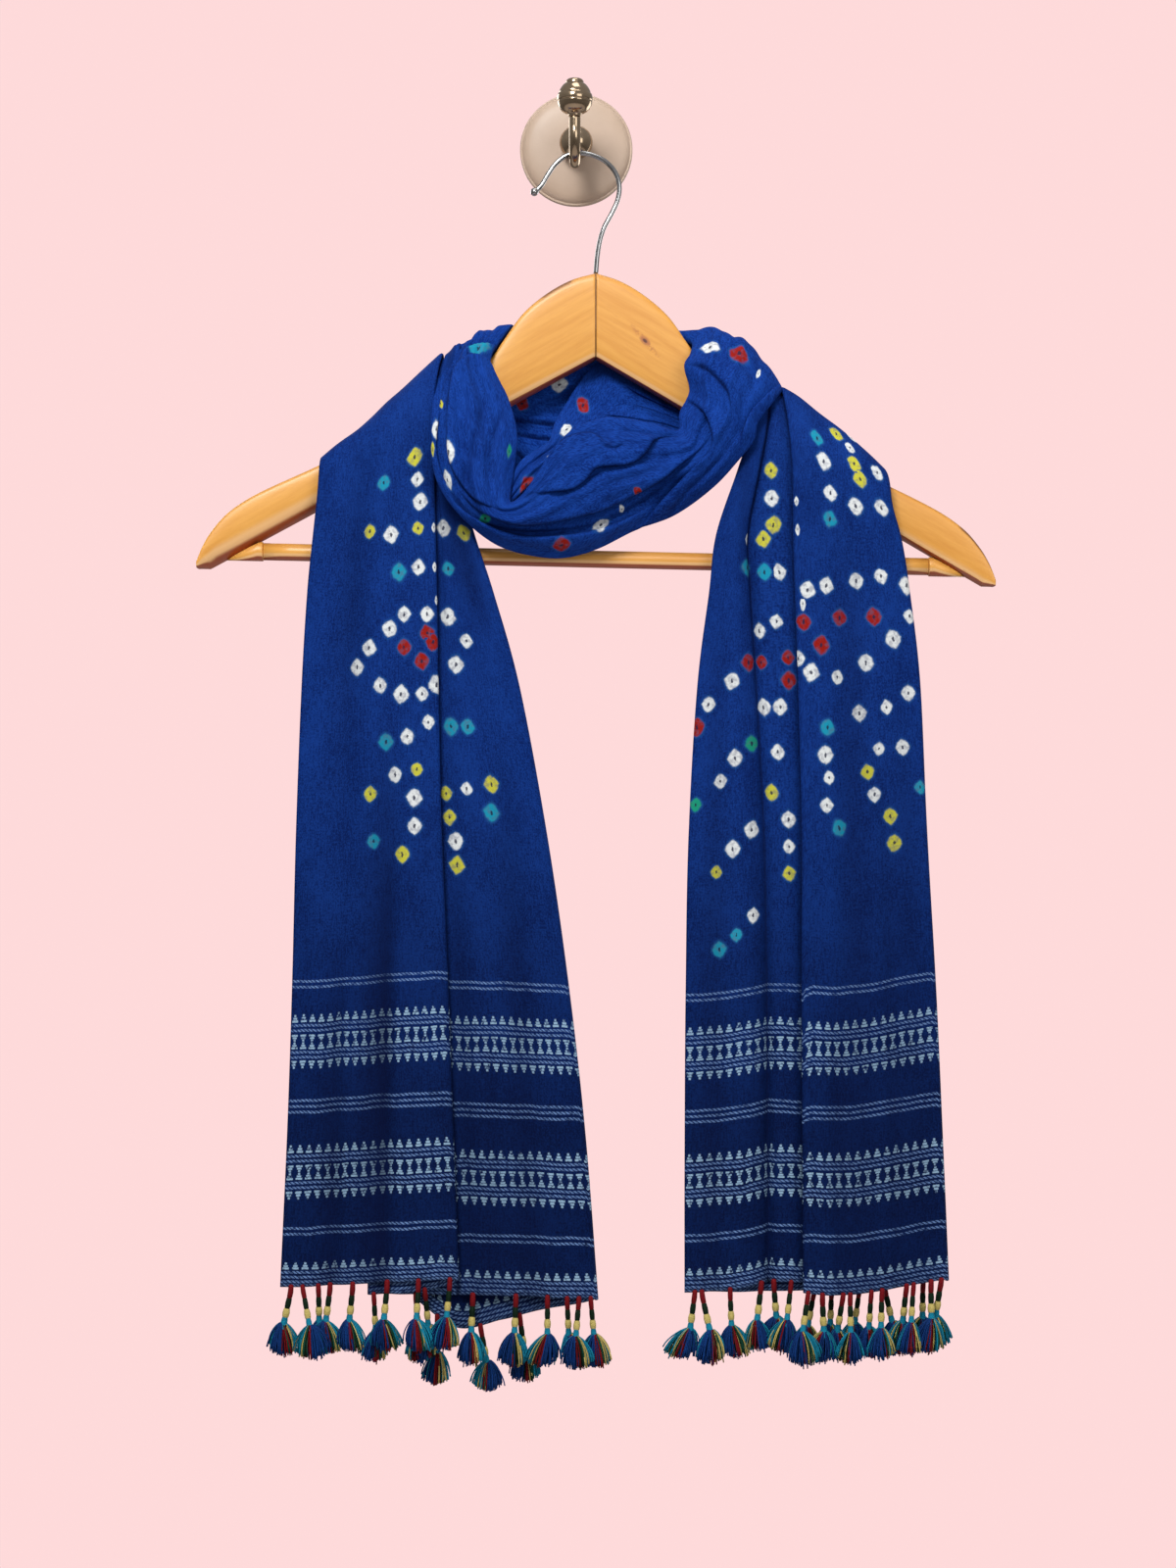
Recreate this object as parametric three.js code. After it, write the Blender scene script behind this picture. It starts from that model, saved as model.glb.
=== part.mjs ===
// A tie-dyed cotton shawl wound once round the neck of a wooden hanger, on a wall hook.
// Millimetres. +Z is up, the wall is the plane Y = 0 and the front faces -Y.
// The origin is the middle of the wall plate's back face.
import * as THREE from "three";

// ---------------------------------------------------------------- driving sizes
const CLOTH = 1.4; // wall thickness of every stretch of cloth
const SEAM = 0.35; // gap kept between pieces that touch
const STRETCH_GAP = 1; // gap between two stretches of cloth that turn where they meet

const PLATE = { radius: 32.5, depth: 7, lip: 2.2 };
const BOSS = { radius: 9.5, out: 16, z: 1 };
const WALL_HOOK = { x: -0.6, radius: 3.2, bottom: -16.5, front: -54.5, top: 6 };
const WIRE = { radius: 1.5, y: -42, tip: 2.4 };

const HANGER = {
  apex: { x: 11.2, z: -79.2 }, // top of the mitre between the two arms
  tilt: 0.0227, // the right side hangs lower by this slope
  y: -42, // middle of the wood at the mitre
  bow: 14, // the arms' ends stand this far forward of the mitre
  span: 222,
  thickness: 14,
  underDrop: 48.2, // height of the wood at the mitre
  underSlope: 0.575, // fall of the straight underside
  tipDrop: 172, // lowest point of an arm, below the apex
};
const BAR = { radius: 4.8, socketRadius: 5.4, drop: 161.5, y: -53, socketStart: 185.6 };

// ---------------------------------------------------------------- helpers
/** Rows of a table as objects, from the names of its columns and the values of each row. */
function table(columns, rows) {
  const names = columns.split(" ");
  return rows.map((row) => Object.fromEntries(names.map((name, i) => [name, row[i]])));
}

/** Smooth value of one named column of a table whose rows are sorted by `at`. */
function column(rows, key, at) {
  let i = 0;
  while (i < rows.length - 2 && at > rows[i + 1].at) i += 1;
  const [a, b] = [rows[i], rows[i + 1]];
  const before = rows[i - 1] ?? a;
  const after = rows[i + 2] ?? b;
  const span = b.at - a.at;
  const t = Math.min(Math.max((at - a.at) / span, 0), 1);
  const slopeA = ((b[key] - before[key]) / (b.at - before.at)) * span;
  const slopeB = ((after[key] - a[key]) / (after.at - a.at)) * span;
  const t2 = t * t;
  const t3 = t2 * t;
  return (2 * t3 - 3 * t2 + 1) * a[key] + (t3 - 2 * t2 + t) * slopeA
    + (3 * t2 - 2 * t3) * b[key] + (t3 - t2) * slopeB;
}

/** Evenly spread numbers from `start` to `end`, both included. */
function steps(start, end, count) {
  return Array.from({ length: count }, (_, i) => start + ((end - start) * i) / (count - 1));
}

/** Closed geometry from points and triangles, turned inside out if its volume is negative. */
function solid(points, triangles) {
  let volume = 0;
  for (const [a, b, c] of triangles) {
    volume += points[a].dot(new THREE.Vector3().crossVectors(points[b], points[c]));
  }
  const ordered = volume > 0 ? triangles : triangles.map(([a, b, c]) => [a, c, b]);
  const geometry = new THREE.BufferGeometry().setFromPoints(points);
  geometry.setIndex(ordered.flat());
  geometry.computeVertexNormals();
  return geometry;
}

/** Solid through a row of rings with the same number of points, capped at both ends. */
function loft(rings) {
  const sides = rings[0].length;
  const points = rings.flat();
  const triangles = [];
  for (let r = 0; r + 1 < rings.length; r += 1) {
    for (let s = 0; s < sides; s += 1) {
      const [a, b] = [r * sides + s, r * sides + ((s + 1) % sides)];
      triangles.push([a, b, b + sides], [a, b + sides, a + sides]);
    }
  }
  const last = (rings.length - 1) * sides;
  for (let s = 1; s + 1 < sides; s += 1) {
    triangles.push([0, s + 1, s], [last, last + s, last + s + 1]);
  }
  return solid(points, triangles);
}

/** Round bar along points; `across` is a direction that never lies along the path. */
function roundBar(points, radiusAt, sides, across, flat = 1) {
  const rings = points.map((point, i) => {
    const before = points[Math.max(i - 1, 0)];
    const after = points[Math.min(i + 1, points.length - 1)];
    const along = after.clone().sub(before).normalize();
    const u = new THREE.Vector3().crossVectors(along, across).normalize();
    const v = new THREE.Vector3().crossVectors(along, u).normalize();
    const radius = radiusAt(i / (points.length - 1), i);
    return steps(0, 2 * Math.PI, sides + 1).slice(0, sides).map((angle) => point.clone()
      .addScaledVector(u, Math.cos(angle) * radius * flat)
      .addScaledVector(v, Math.sin(angle) * radius));
  });
  return loft(rings);
}

/** Wall of even thickness on a grid of points: both skins and the four edges. */
function clothWall(grid) {
  const rows = grid.length;
  const cols = grid[0].length;
  const at = (i, j) => grid[Math.min(Math.max(i, 0), rows - 1)][Math.min(Math.max(j, 0), cols - 1)];
  const front = [];
  const back = [];
  for (let i = 0; i < rows; i += 1) {
    for (let j = 0; j < cols; j += 1) {
      const down = at(i + 1, j).clone().sub(at(i - 1, j));
      const over = at(i, j + 1).clone().sub(at(i, j - 1));
      const normal = new THREE.Vector3().crossVectors(down, over).normalize();
      front.push(grid[i][j].clone().addScaledVector(normal, CLOTH / 2));
      back.push(grid[i][j].clone().addScaledVector(normal, -CLOTH / 2));
    }
  }
  const skin = rows * cols;
  const id = (i, j) => i * cols + j;
  const triangles = [];
  const quad = (a, b, c, d) => triangles.push([a, b, c], [a, c, d]);
  for (let i = 0; i + 1 < rows; i += 1) {
    for (let j = 0; j + 1 < cols; j += 1) {
      quad(id(i, j), id(i + 1, j), id(i + 1, j + 1), id(i, j + 1));
      quad(skin + id(i, j), skin + id(i, j + 1), skin + id(i + 1, j + 1), skin + id(i + 1, j));
    }
  }
  const rim = [];
  for (let j = 0; j < cols - 1; j += 1) rim.push(id(0, j));
  for (let i = 0; i < rows - 1; i += 1) rim.push(id(i, cols - 1));
  for (let j = cols - 1; j > 0; j -= 1) rim.push(id(rows - 1, j));
  for (let i = rows - 1; i > 0; i -= 1) rim.push(id(i, 0));
  rim.forEach((a, k) => {
    const b = rim[(k + 1) % rim.length];
    quad(a, b, skin + b, skin + a);
  });
  return solid([...front, ...back], triangles);
}

// ---------------------------------------------------------------- wall hook
function wallPlate() {
  const { radius, depth, lip } = PLATE;
  const profile = [
    [0, 0], [radius, 0], [radius, lip], [radius - 1, lip + 1.6], [radius - 4, depth - 1.4],
    [radius - 8, depth - 0.4], [radius * 0.45, depth], [0, depth],
  ].map(([r, h]) => new THREE.Vector2(r, h));
  return new THREE.LatheGeometry(profile, 32).rotateX(Math.PI);
}

/** Ball that sits on the plate, cut flat where it meets it. */
function wallBoss() {
  const start = PLATE.depth + SEAM;
  const reach = BOSS.out + BOSS.radius;
  const profile = [new THREE.Vector2(0, start)];
  for (const out of steps(start, reach, 9).slice(0, -1)) {
    const share = (out - BOSS.out) / BOSS.radius;
    profile.push(new THREE.Vector2(BOSS.radius * Math.sqrt(Math.max(1 - share * share, 0.05)), out));
  }
  profile.push(new THREE.Vector2(0, reach));
  return new THREE.LatheGeometry(profile, 18).rotateX(Math.PI).translate(0, 0, BOSS.z);
}

/** J of round bar: from the boss down, forward and up to the knob's collar. */
function wallHook() {
  const start = -BOSS.out - BOSS.radius - SEAM;
  const { bottom, front, top, radius } = WALL_HOOK;
  const route = [
    [start, BOSS.z - 1], [start - 2.6, BOSS.z - 1.4], [start - 6, -6], [start - 9.5, -12.4],
    [start - 13.2, bottom + 0.6], [-43, bottom], [-47.5, bottom + 1.4], [-51.8, bottom + 5.4],
    [front, bottom + 11.5], [front, top - 5], [front, top],
  ].map(([y, z]) => new THREE.Vector3(WALL_HOOK.x, y, z));
  const path = new THREE.CatmullRomCurve3(route).getPoints(22);
  return roundBar(path, () => radius, 10, new THREE.Vector3(1, 0, 0));
}

/** Turned acorn knob with a collar and two ring grooves. */
function hookKnob() {
  const base = WALL_HOOK.top + SEAM;
  const profile = [
    [0, 0], [5, 0], [5.6, 1.2], [4.4, 2.6], [6.2, 4], [9, 6.2], [10, 9], [9.6, 12], [8.2, 13.6],
    [7.2, 14.4], [6.2, 16.8], [4.6, 19.4], [2.6, 21.2], [0, 21.8],
  ].map(([r, h]) => new THREE.Vector2(r, h));
  return new THREE.LatheGeometry(profile, 18)
    .rotateX(Math.PI / 2)
    .translate(WALL_HOOK.x, WALL_HOOK.front, base);
}

// ---------------------------------------------------------------- hanger
/** Place of a point of the hanger from its distance to the side and its drop below the apex. */
function onHanger(side, y, drop) {
  const { apex, tilt } = HANGER;
  return new THREE.Vector3(apex.x + side, y, apex.z - drop - tilt * side);
}

/** How far forward the middle of the wood is at a distance from the mitre. */
function armY(distance) {
  return HANGER.y - HANGER.bow * (Math.abs(distance) / HANGER.span) ** 1.5;
}

// Upper edge of one arm: drop below the apex at a distance from the mitre.
const ARM_TOP = table("at drop", [
  [0, 0],
  [14, 4.4],
  [28, 12.6],
  [41, 24],
  [51, 38],
  [60, 51],
  [74, 64],
  [100, 82],
  [152, 111],
  [190, 130],
  [205, 140.5],
  [214, 151],
  [219, 160],
  [222, 168],
]);

// Edges of an arm: the chamfer, the height of wood below which it shrinks, the distance from
// the mitre where the undercut is full, and the widest that the undercut may be.
const ARM_EDGE = { chamfer: 1.6, shrinkBelow: 22, fullFrom: 150, widest: 6 };

/** One arm; `hand` is -1 for the left and 1 for the right, `undercut` slopes the lower edge. */
function hangerArm(hand, undercut) {
  const stations = [0, 14, 28, 41, 51, 60, 74, 100, 126, 152, 172, 190, 205, 214, 219, 222];
  const edge = ARM_EDGE.chamfer;
  const rings = stations.map((distance) => {
    const side = hand * Math.max(distance, SEAM / 2);
    const y = armY(distance);
    const [front, back] = [y - HANGER.thickness / 2, y + HANGER.thickness / 2];
    const top = column(ARM_TOP, "drop", distance);
    const low = Math.min(HANGER.underDrop + HANGER.underSlope * distance, HANGER.tipDrop);
    const cut = edge + undercut * Math.min(distance / ARM_EDGE.fullFrom, 1);
    const thin = Math.min(1, (low - top) / ARM_EDGE.shrinkBelow);
    return [
      [front, top + edge * thin], [front + edge, top], [back - edge, top],
      [back, top + edge * thin], [back, low - edge * thin], [back - edge, low],
      [front + Math.min(cut, ARM_EDGE.widest) * thin, low], [front, low - cut * thin],
    ].map(([py, drop]) => onHanger(side, py, drop));
  });
  return loft(rings);
}

/** Drop of the arm's underside, plus the seam, turned into a distance from the mitre. */
function underArm(drop) {
  return (drop - SEAM - HANGER.underDrop) / HANGER.underSlope;
}

/** Ring of the bar at a distance; a slanted ring follows the arm's underside. */
function barRing(hand, radius, distance) {
  return steps(0, 2 * Math.PI, 13).slice(0, 12).map((angle) => {
    const drop = BAR.drop - Math.sin(angle) * radius;
    const reach = distance ?? underArm(drop);
    return onHanger(hand * reach, BAR.y + Math.cos(angle) * radius, drop);
  });
}

function trouserBar() {
  const end = BAR.socketStart - SEAM / 2;
  const rings = [barRing(-1, BAR.radius, end), barRing(1, BAR.radius, end)];
  return loft(rings);
}

/** Wooden ferrule that joins the bar to the underside of an arm. */
function barSocket(hand) {
  const start = BAR.socketStart + SEAM / 2;
  return loft([barRing(hand, BAR.socketRadius, start), barRing(hand, BAR.socketRadius)]);
}

/** Wire hook of the hanger, from the mitre up and round to its ball tip. */
function hangerHook() {
  const route = [
    [11.2, -78.8], [11.9, -70], [13.4, -60.8], [15.8, -53.2], [20.2, -45], [23.5, -37.4],
    [24.4, -29.8], [22.3, -22.3], [16.8, -16], [9.6, -12.4], [2.4, -11.2], [-5.4, -12.6],
    [-11.4, -17.2], [-15.9, -23.4], [-19.2, -29], [-21.8, -31.8], [-24, -33.4], [-25.4, -34.2],
  ].map(([x, z]) => new THREE.Vector3(x, WIRE.y, z));
  const count = 44;
  const path = new THREE.CatmullRomCurve3(route).getPoints(count);
  const ball = [WIRE.tip * 0.9, WIRE.tip, WIRE.tip, 1]; // radius of the last rings
  const radiusAt = (_, i) => ball[i - count + ball.length - 1] ?? WIRE.radius;
  return roundBar(path, radiusAt, 8, new THREE.Vector3(0, 1, 0));
}

// ---------------------------------------------------------------- the two falls
// A row is one level of the cloth from behind the arm, over it and down to the hem.
// left and right: x of the outline, with the height of the cloth's back plane there.
// y: that plane's depth. lean: which way the layers stack, 0 forward, 90 up, 180 to the wall.
// fold and tuck: x of the front layer's fold and of the turn hidden behind it.
const FALL_LEFT = table("at left leftZ right rightZ y lean fold tuck end", [
  [0, -139, -212, -90, -172, -38, 175, -95, -112, -108],
  [1, -140, -197, -86, -157, -38, 155, -92, -110, -106],
  [2, -141, -187, -82, -149, -43, 115, -88, -108, -105],
  [3, -141.6, -186, -80.5, -148, -52, 80, -85.5, -108, -104],
  [4, -142.2, -190, -81, -157, -59.5, 28, -84.5, -108, -102],
  [5, -143.4, -206, -71, -186, -60, 0, -78.5, -108, -98],
  [6, -146, -230, -57, -226, -60, 0, -77.5, -108, -94],
  [7, -149, -260, -45.8, -260, -60, 0, -76.8, -109, -92],
  [8, -152.1, -312, -31.2, -312, -60, 0, -76, -110, -91],
  [9, -155.2, -393, -16, -393, -60, 0, -74.2, -111, -90],
  [10, -157.3, -475, -4, -475, -60, 0, -70.8, -112, -90],
  [11, -160, -556, 5.2, -556, -60, 0, -67.9, -114, -90],
  [12, -164, -644, 12.2, -644, -60, 0, -64.6, -115, -90],
]);
const FALL_RIGHT = table("at left leftZ right rightZ y lean valley fold end", [
  [0, 112, -181, 167, -219, -38.5, 175, 122, 131, 122],
  [1, 113, -167, 170, -207, -38.5, 155, 120, 129, 123],
  [2, 114.5, -161, 173, -198, -43.5, 115, 119.5, 128, 124],
  [3, 114.5, -160, 173.4, -197, -53, 80, 118.5, 127, 123],
  [4, 101, -171, 173.8, -202, -60.5, 28, 112, 122, 116],
  [5, 89.5, -192, 175.2, -212, -60.5, 0, 101.5, 117, 102],
  [6, 83.4, -228, 180.5, -232, -60, 0, 97, 117.6, 94],
  [7, 75.2, -260, 184.8, -260, -60, 0, 96.9, 119.1, 86],
  [8, 68.1, -312, 190.6, -312, -60, 0, 100.1, 121.8, 80],
  [9, 62.6, -393, 194.3, -393, -60, 0, 104.3, 124.4, 74],
  [10, 61, -475, 199, -475, -60, 0, 105.9, 124.9, 72],
  [11, 60.4, -556, 202.7, -556, -60, 0, 106.4, 125.3, 72],
  [12, 60.3, -644, 206.4, -644, -60, 0, 106.8, 125.8, 72],
]);

/** Half circle between two layers, bulging by `bulge` to the side. */
function turn(x, from, to, bulge, hem, layer) {
  return steps(0, Math.PI, 5).slice(1, 4).map((angle) => ({
    x: x + bulge * Math.sin(angle),
    out: from + ((to - from) * (1 - Math.cos(angle))) / 2,
    hem,
    layer,
  }));
}

/** Section of the left fall, front layer to rear: x, distance out from the back plane, hem drop. */
function sectionLeft({ left, right, fold, tuck, end }) {
  const front = fold - left;
  const open = right - fold;
  const rear = right - end;
  return [
    { x: left, out: 3.2, hem: -1.5, layer: "front" },
    { x: left + 0.14 * front, out: 6.2, hem: -1, layer: "front" },
    { x: left + 0.3 * front, out: 7.2, hem: 0, layer: "front" },
    { x: left + 0.42 * front, out: 9.6, hem: 1, layer: "front" },
    { x: left + 0.54 * front, out: 12.4, hem: 2, layer: "front" },
    { x: left + 0.66 * front, out: 13, hem: 3, layer: "front" },
    { x: left + 0.84 * front, out: 14.6, hem: 4, layer: "front" },
    { x: fold - 2, out: 14.2, hem: 4.6, layer: "front" },
    ...turn(fold - 2, 14.2, 10.2, 2, 4, "turn"),
    { x: fold - 2, out: 10.2, hem: 2, layer: "tuck" },
    { x: tuck + 0.5 * (fold - tuck), out: 10, hem: -3, layer: "tuck" },
    { x: tuck + 2, out: 10, hem: -5, layer: "tuck" },
    ...turn(tuck + 2, 10, 6, -2, -5, "turn"),
    { x: tuck + 2, out: 6, hem: -5, layer: "tuck" },
    { x: tuck + 0.5 * (fold - tuck), out: 6, hem: -5, layer: "open" },
    { x: fold, out: 6.4, hem: -5.4, layer: "open" },
    { x: fold + 0.2 * open, out: 8.4, hem: -5.6, layer: "open" },
    { x: fold + 0.45 * open, out: 8, hem: -6, layer: "open" },
    { x: fold + 0.72 * open, out: 9, hem: -6.6, layer: "open" },
    { x: right - 2.5, out: 8, hem: -7, layer: "open" },
    ...turn(right - 2.5, 8, 2, 2.5, -8, "turn"),
    { x: right - 2.5, out: 2, hem: -9, layer: "rear" },
    { x: right - 0.28 * rear, out: 2, hem: -14, layer: "rear" },
    { x: right - 0.52 * rear, out: 2.2, hem: -20, layer: "rear" },
    { x: right - 0.76 * rear, out: 2, hem: -24.5, layer: "rear" },
    { x: end, out: 1.8, hem: -8, layer: "rear" },
  ];
}

/** Section of the right fall, in three pleats, and its rear layer. */
function sectionRight({ left, right, valley, fold, end }) {
  const first = valley - left;
  const middle = fold - valley;
  const wide = right - fold;
  const rear = right - end;
  const under = fold + Math.min(20, 0.3 * wide);
  return [
    { x: left, out: 6, hem: -4, layer: "front" },
    { x: left + 0.2 * first, out: 8.6, hem: -3.5, layer: "front" },
    { x: left + 0.5 * first, out: 9.6, hem: -2, layer: "front" },
    { x: left + 0.8 * first, out: 9, hem: 0, layer: "front" },
    { x: valley - 0.06 * first, out: 7.4, hem: 1.5, layer: "front" },
    { x: valley, out: 5.4, hem: 2, layer: "front" },
    { x: valley + 0.2 * middle, out: 7, hem: 2, layer: "front" },
    { x: valley + 0.55 * middle, out: 8, hem: 2, layer: "front" },
    { x: fold - 1, out: 6.8, hem: 1.5, layer: "tuck" },
    { x: under - 2, out: 6, hem: 0, layer: "tuck" },
    ...turn(under - 2, 6, 10, 2, -1, "turn"),
    { x: under - 2, out: 10, hem: -2, layer: "tuck" },
    { x: fold + 2, out: 10.2, hem: -2.5, layer: "tuck" },
    ...turn(fold + 2, 10.2, 14.2, -2, -3, "turn"),
    { x: fold + 2, out: 14.2, hem: -3, layer: "wide" },
    { x: fold + 0.16 * wide, out: 14.6, hem: -4.2, layer: "wide" },
    { x: fold + 0.36 * wide, out: 13, hem: -4, layer: "wide" },
    { x: fold + 0.6 * wide, out: 13.4, hem: -1, layer: "wide" },
    { x: fold + 0.82 * wide, out: 12, hem: 2, layer: "wide" },
    { x: right - 3, out: 10, hem: 3.6, layer: "wide" },
    ...turn(right - 3, 10, 2, 3, 3, "turn"),
    { x: right - 3, out: 2, hem: 2, layer: "rear" },
    { x: right - 0.35 * rear, out: 2, hem: -2, layer: "rear" },
    { x: right - 0.7 * rear, out: 2, hem: -4, layer: "rear" },
    { x: end, out: 2, hem: -4.5, layer: "rear" },
  ];
}

const LAST_ROW = 12;
const FIRST_HANGING_ROW = 6;

/** One row of a fall as points: its section laid on that row's own plane. */
function fallRow(table, section, at) {
  const keys = Object.keys(table[0]);
  const row = Object.fromEntries(keys.map((key) => [key, column(table, key, at)]));
  const lean = THREE.MathUtils.degToRad(row.lean);
  const hang = Math.max((at - FIRST_HANGING_ROW) / (LAST_ROW - FIRST_HANGING_ROW), 0) ** 1.5;
  return section(row).map(({ x, out, hem, layer }) => {
    const across = (x - row.left) / (row.right - row.left);
    const z = row.leftZ + across * (row.rightZ - row.leftZ) + hem * hang;
    const point = new THREE.Vector3(x, row.y - out * Math.cos(lean), z + out * Math.sin(lean));
    return { point, layer };
  });
}

/** A fall, or one part of it: the layers up to the last turn, or the rear layer after it. */
function fall(table, section, part) {
  const rows = [0, 1, 2, 2.5, 3, 3.5, 4, 5, 6, 7, 8, 9, 10, 11, 12];
  return clothWall(rows.map((at) => {
    const row = fallRow(table, section, at);
    const edge = row.findIndex(({ layer }) => layer === "rear");
    const points = row.map(({ point }) => point);
    if (part === "all") return points;
    if (part === "front") return points.slice(0, edge + 1);
    const [first, second, ...others] = points.slice(edge);
    const start = first.clone().lerp(second, STRETCH_GAP / first.distanceTo(second));
    return [start, second, ...others];
  }));
}

// ---------------------------------------------------------------- the loop round the neck
// A row is one place along the loop: it climbs over the left arm from behind, comes down,
// turns at the crease, swings across and climbs over the right arm.
// in: the edge nearest the hanger's block. out: the outer and lower edge.
// swell: how far the cloth between them stands out, along the direction given by lean.
const LOOP = table("at inX inY inZ outX outY outZ swell lean", [
  [0, -46, -31, -112, -61, -31, -150, 3, 165],
  [1, -51, -44, -111, -77, -44, -132, 8, 90],
  [2, -46, -58, -129, -78.6, -65, -145, 8, 45],
  [3, -39, -68, -155, -79, -80, -167, 9, 5],
  [4, -33.5, -74, -179, -78.4, -83, -189.5, 10, 0],
  [5, -35, -80, -199, -74, -82, -210, 10, 0],
  [6, -36, -86, -213, -60, -79, -229, 9, 0],
  [7, -29, -88, -208.5, -42, -74, -238.5, 9, -5],
  [8, -20, -88, -196, -24, -71, -243, 10, -8],
  [9, -11, -87, -181.5, -6.5, -69, -244.5, 12, -8],
  [10, 1.5, -85, -171, 12, -68, -240, 13, -8],
  [11, 20, -82, -165, 32.5, -67, -230.5, 13, -5],
  [12, 41.5, -77, -167.5, 55, -66, -219, 12, 0],
  [13, 57, -71, -172.5, 76, -69, -204.5, 10, 0],
  [14, 63, -65, -158, 91, -73, -187, 9, 5],
  [15, 63.5, -61, -135, 106, -75, -165, 10, 25],
  [16, 62.5, -46, -113, 115, -52, -143, 13, 80],
  [17, 58, -31, -112, 103, -31, -154, 5, 160],
]);

// The strip inside the loop: it rises from the crease, widens and lies back against the neck.
const INNER = table("at inX inY inZ outX outY outZ swell lean", [
  [0, -36, -80, -206, -34.5, -80, -210, 0.5, 0],
  [1, -30, -77, -194, -24, -79, -199, 1.2, 0],
  [2, -20, -72, -178, -12, -75, -186, 1.8, 0],
  [3, -9, -66, -160, 1, -71, -176, 2.4, 0],
  [4, 4, -60, -148, 20, -67, -172, 3, 0],
  [5, 24, -56, -146, 38, -63, -174, 3, 0],
  [6, 44, -54.5, -150, 54, -59, -176, 2.5, 0],
]);

// The two stretches that cross behind the neck. in: upper edge. out: lower edge.
const NECK_INNER = table("at inX inY inZ outX outY outZ swell lean", [
  [0, -45.5, -30.5, -113, -60.2, -30.5, -152, 2, 175],
  [1, -22, -29, -108, -30, -29, -172, 2, 180],
  [2, 12, -28.5, -108, 12, -29, -186, 2, 180],
  [3, 52, -29.5, -120, 57, -31, -180, 2, 180],
  [4, 88, -31, -150, 104, -32, -196, 1.5, 180],
  [5, 110, -30.5, -184.6, 165, -31, -221.5, 0, 180],
]);
const NECK_OUTER = table("at inX inY inZ outX outY outZ swell lean", [
  [0, 57, -25, -118, 101, -25, -160, 2, 175],
  [1, 34, -20, -110, 62, -20, -184, 2, 180],
  [2, 2, -18, -108, 8, -18, -190, 2, 180],
  [3, -36, -20, -120, -44, -20, -202, 2, 180],
  [4, -68, -25, -146, -92, -26, -216, 1.5, 180],
  [5, -90, -31, -174.6, -137, -31, -212.4, 0, 180],
]);

/** Point on a stretch: between its two edges, swelled out, with folds that run along it. */
function stretchPoint(table, folds, at, across) {
  const value = (key) => column(table, key, at);
  const blend = (a, b) => value(a) + across * (value(b) - value(a));
  const lean = THREE.MathUtils.degToRad(value("lean"));
  const body = value("swell") * Math.sin(Math.PI * across) ** 0.8;
  const wave = folds.depth * Math.sin(2 * Math.PI * folds.count * (across - folds.drift * at));
  const out = body + wave * Math.sin(Math.PI * across);
  return new THREE.Vector3(
    blend("inX", "outX"),
    blend("inY", "outY") - out * Math.cos(lean),
    blend("inZ", "outZ") + out * Math.sin(lean),
  );
}

/** How much of a row makes half the gap at one place of a stretch. */
function halfGap(table, folds, at, across) {
  const step = 0.02;
  const before = stretchPoint(table, folds, at - step, across);
  const after = stretchPoint(table, folds, at + step, across);
  return (STRETCH_GAP * step) / before.distanceTo(after);
}

function stretch(table, folds, from, to, rows, cols = 13) {
  const last = table.length - 1;
  return clothWall(steps(0, 1, rows).map((along) => steps(0, 1, cols).map((across) => {
    const start = from > 0 ? from + halfGap(table, folds, from, across) : from;
    const end = to < last ? to - halfGap(table, folds, to, across) : to;
    return stretchPoint(table, folds, start + along * (end - start), across);
  })));
}

const CREASE_ROW = 6;
const SHOULDER_ROW = 13;
const LOOP_FOLDS = { depth: 1.8, count: 3, drift: 0.012 };
const INNER_FOLDS = { depth: 0.8, count: 2, drift: 0.02 };
const NECK_FOLDS = { depth: 1.2, count: 4, drift: 0.02 };

// ---------------------------------------------------------------- tassels
// x: where it leaves the hem. swing: how far its skirt hangs to the side. near: how far it
// stands forward of its layer. layer: the layer of cloth whose hem it is tied to.
const TASSELS_LEFT = table("x swing near layer", [
  [-158, -5, 0, "front"],
  [-152, 5, 7, "front"],
  [-141.5, 0, -4, "front"],
  [-135.5, -3, 1, "front"],
  [-122.5, -2.5, -1, "front"],
  [-111, 1, 0, "tuck"],
  [-103, -2, 5, "front"],
  [-95, 1, -1, "open"],
  [-86.5, -1, 7, "front"],
  [-82.5, 2, -3, "tuck"],
  [-76.5, 0, -1, "rear"],
  [-68.5, -2, 5, "front"],
  [-57, -1, 4, "open"],
  [-52, 4, -2, "rear"],
  [-34, -1, 3, "open"],
  [-31, 3, -1, "rear"],
  [-15, 0, 3, "open"],
  [-4, 1, -3, "open"],
  [1.5, -2, 5, "open"],
  [9, 2, 0, "open"],
]);
const TASSELS_RIGHT = table("x swing near layer", [
  [66, -3, 0, "front"],
  [70.5, 5, 6, "front"],
  [85.5, 1, 0, "front"],
  [103.5, -3, 4, "front"],
  [109.5, 2, -2, "front"],
  [120, -3, 5, "front"],
  [129, -4, 6, "wide"],
  [133, -4, -1, "rear"],
  [135.5, 1, 1, "wide"],
  [142.5, -1, 0, "rear"],
  [147, -3, -5, "wide"],
  [151, 0, 5, "wide"],
  [158.5, -3, -2, "rear"],
  [164, -1, -4, "wide"],
  [168.5, -1, 4, "wide"],
  [172, 5, 0, "rear"],
  [183.5, -2, -3, "wide"],
  [187, -2, 5, "wide"],
  [193, 0, -2, "rear"],
  [196.5, 0, 3, "wide"],
  [201.5, -3, -4, "wide"],
]);

// One tassel from the hem down: its thickness at each share of its length.
const TASSEL_LENGTH = 38;
const TASSEL_PROFILE = table("down radius", [
  [0, 1.3],
  [0.26, 1.4],
  [0.42, 1.9],
  [0.56, 2.2],
  [0.72, 4.6],
  [1, 5.6],
]);

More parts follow.
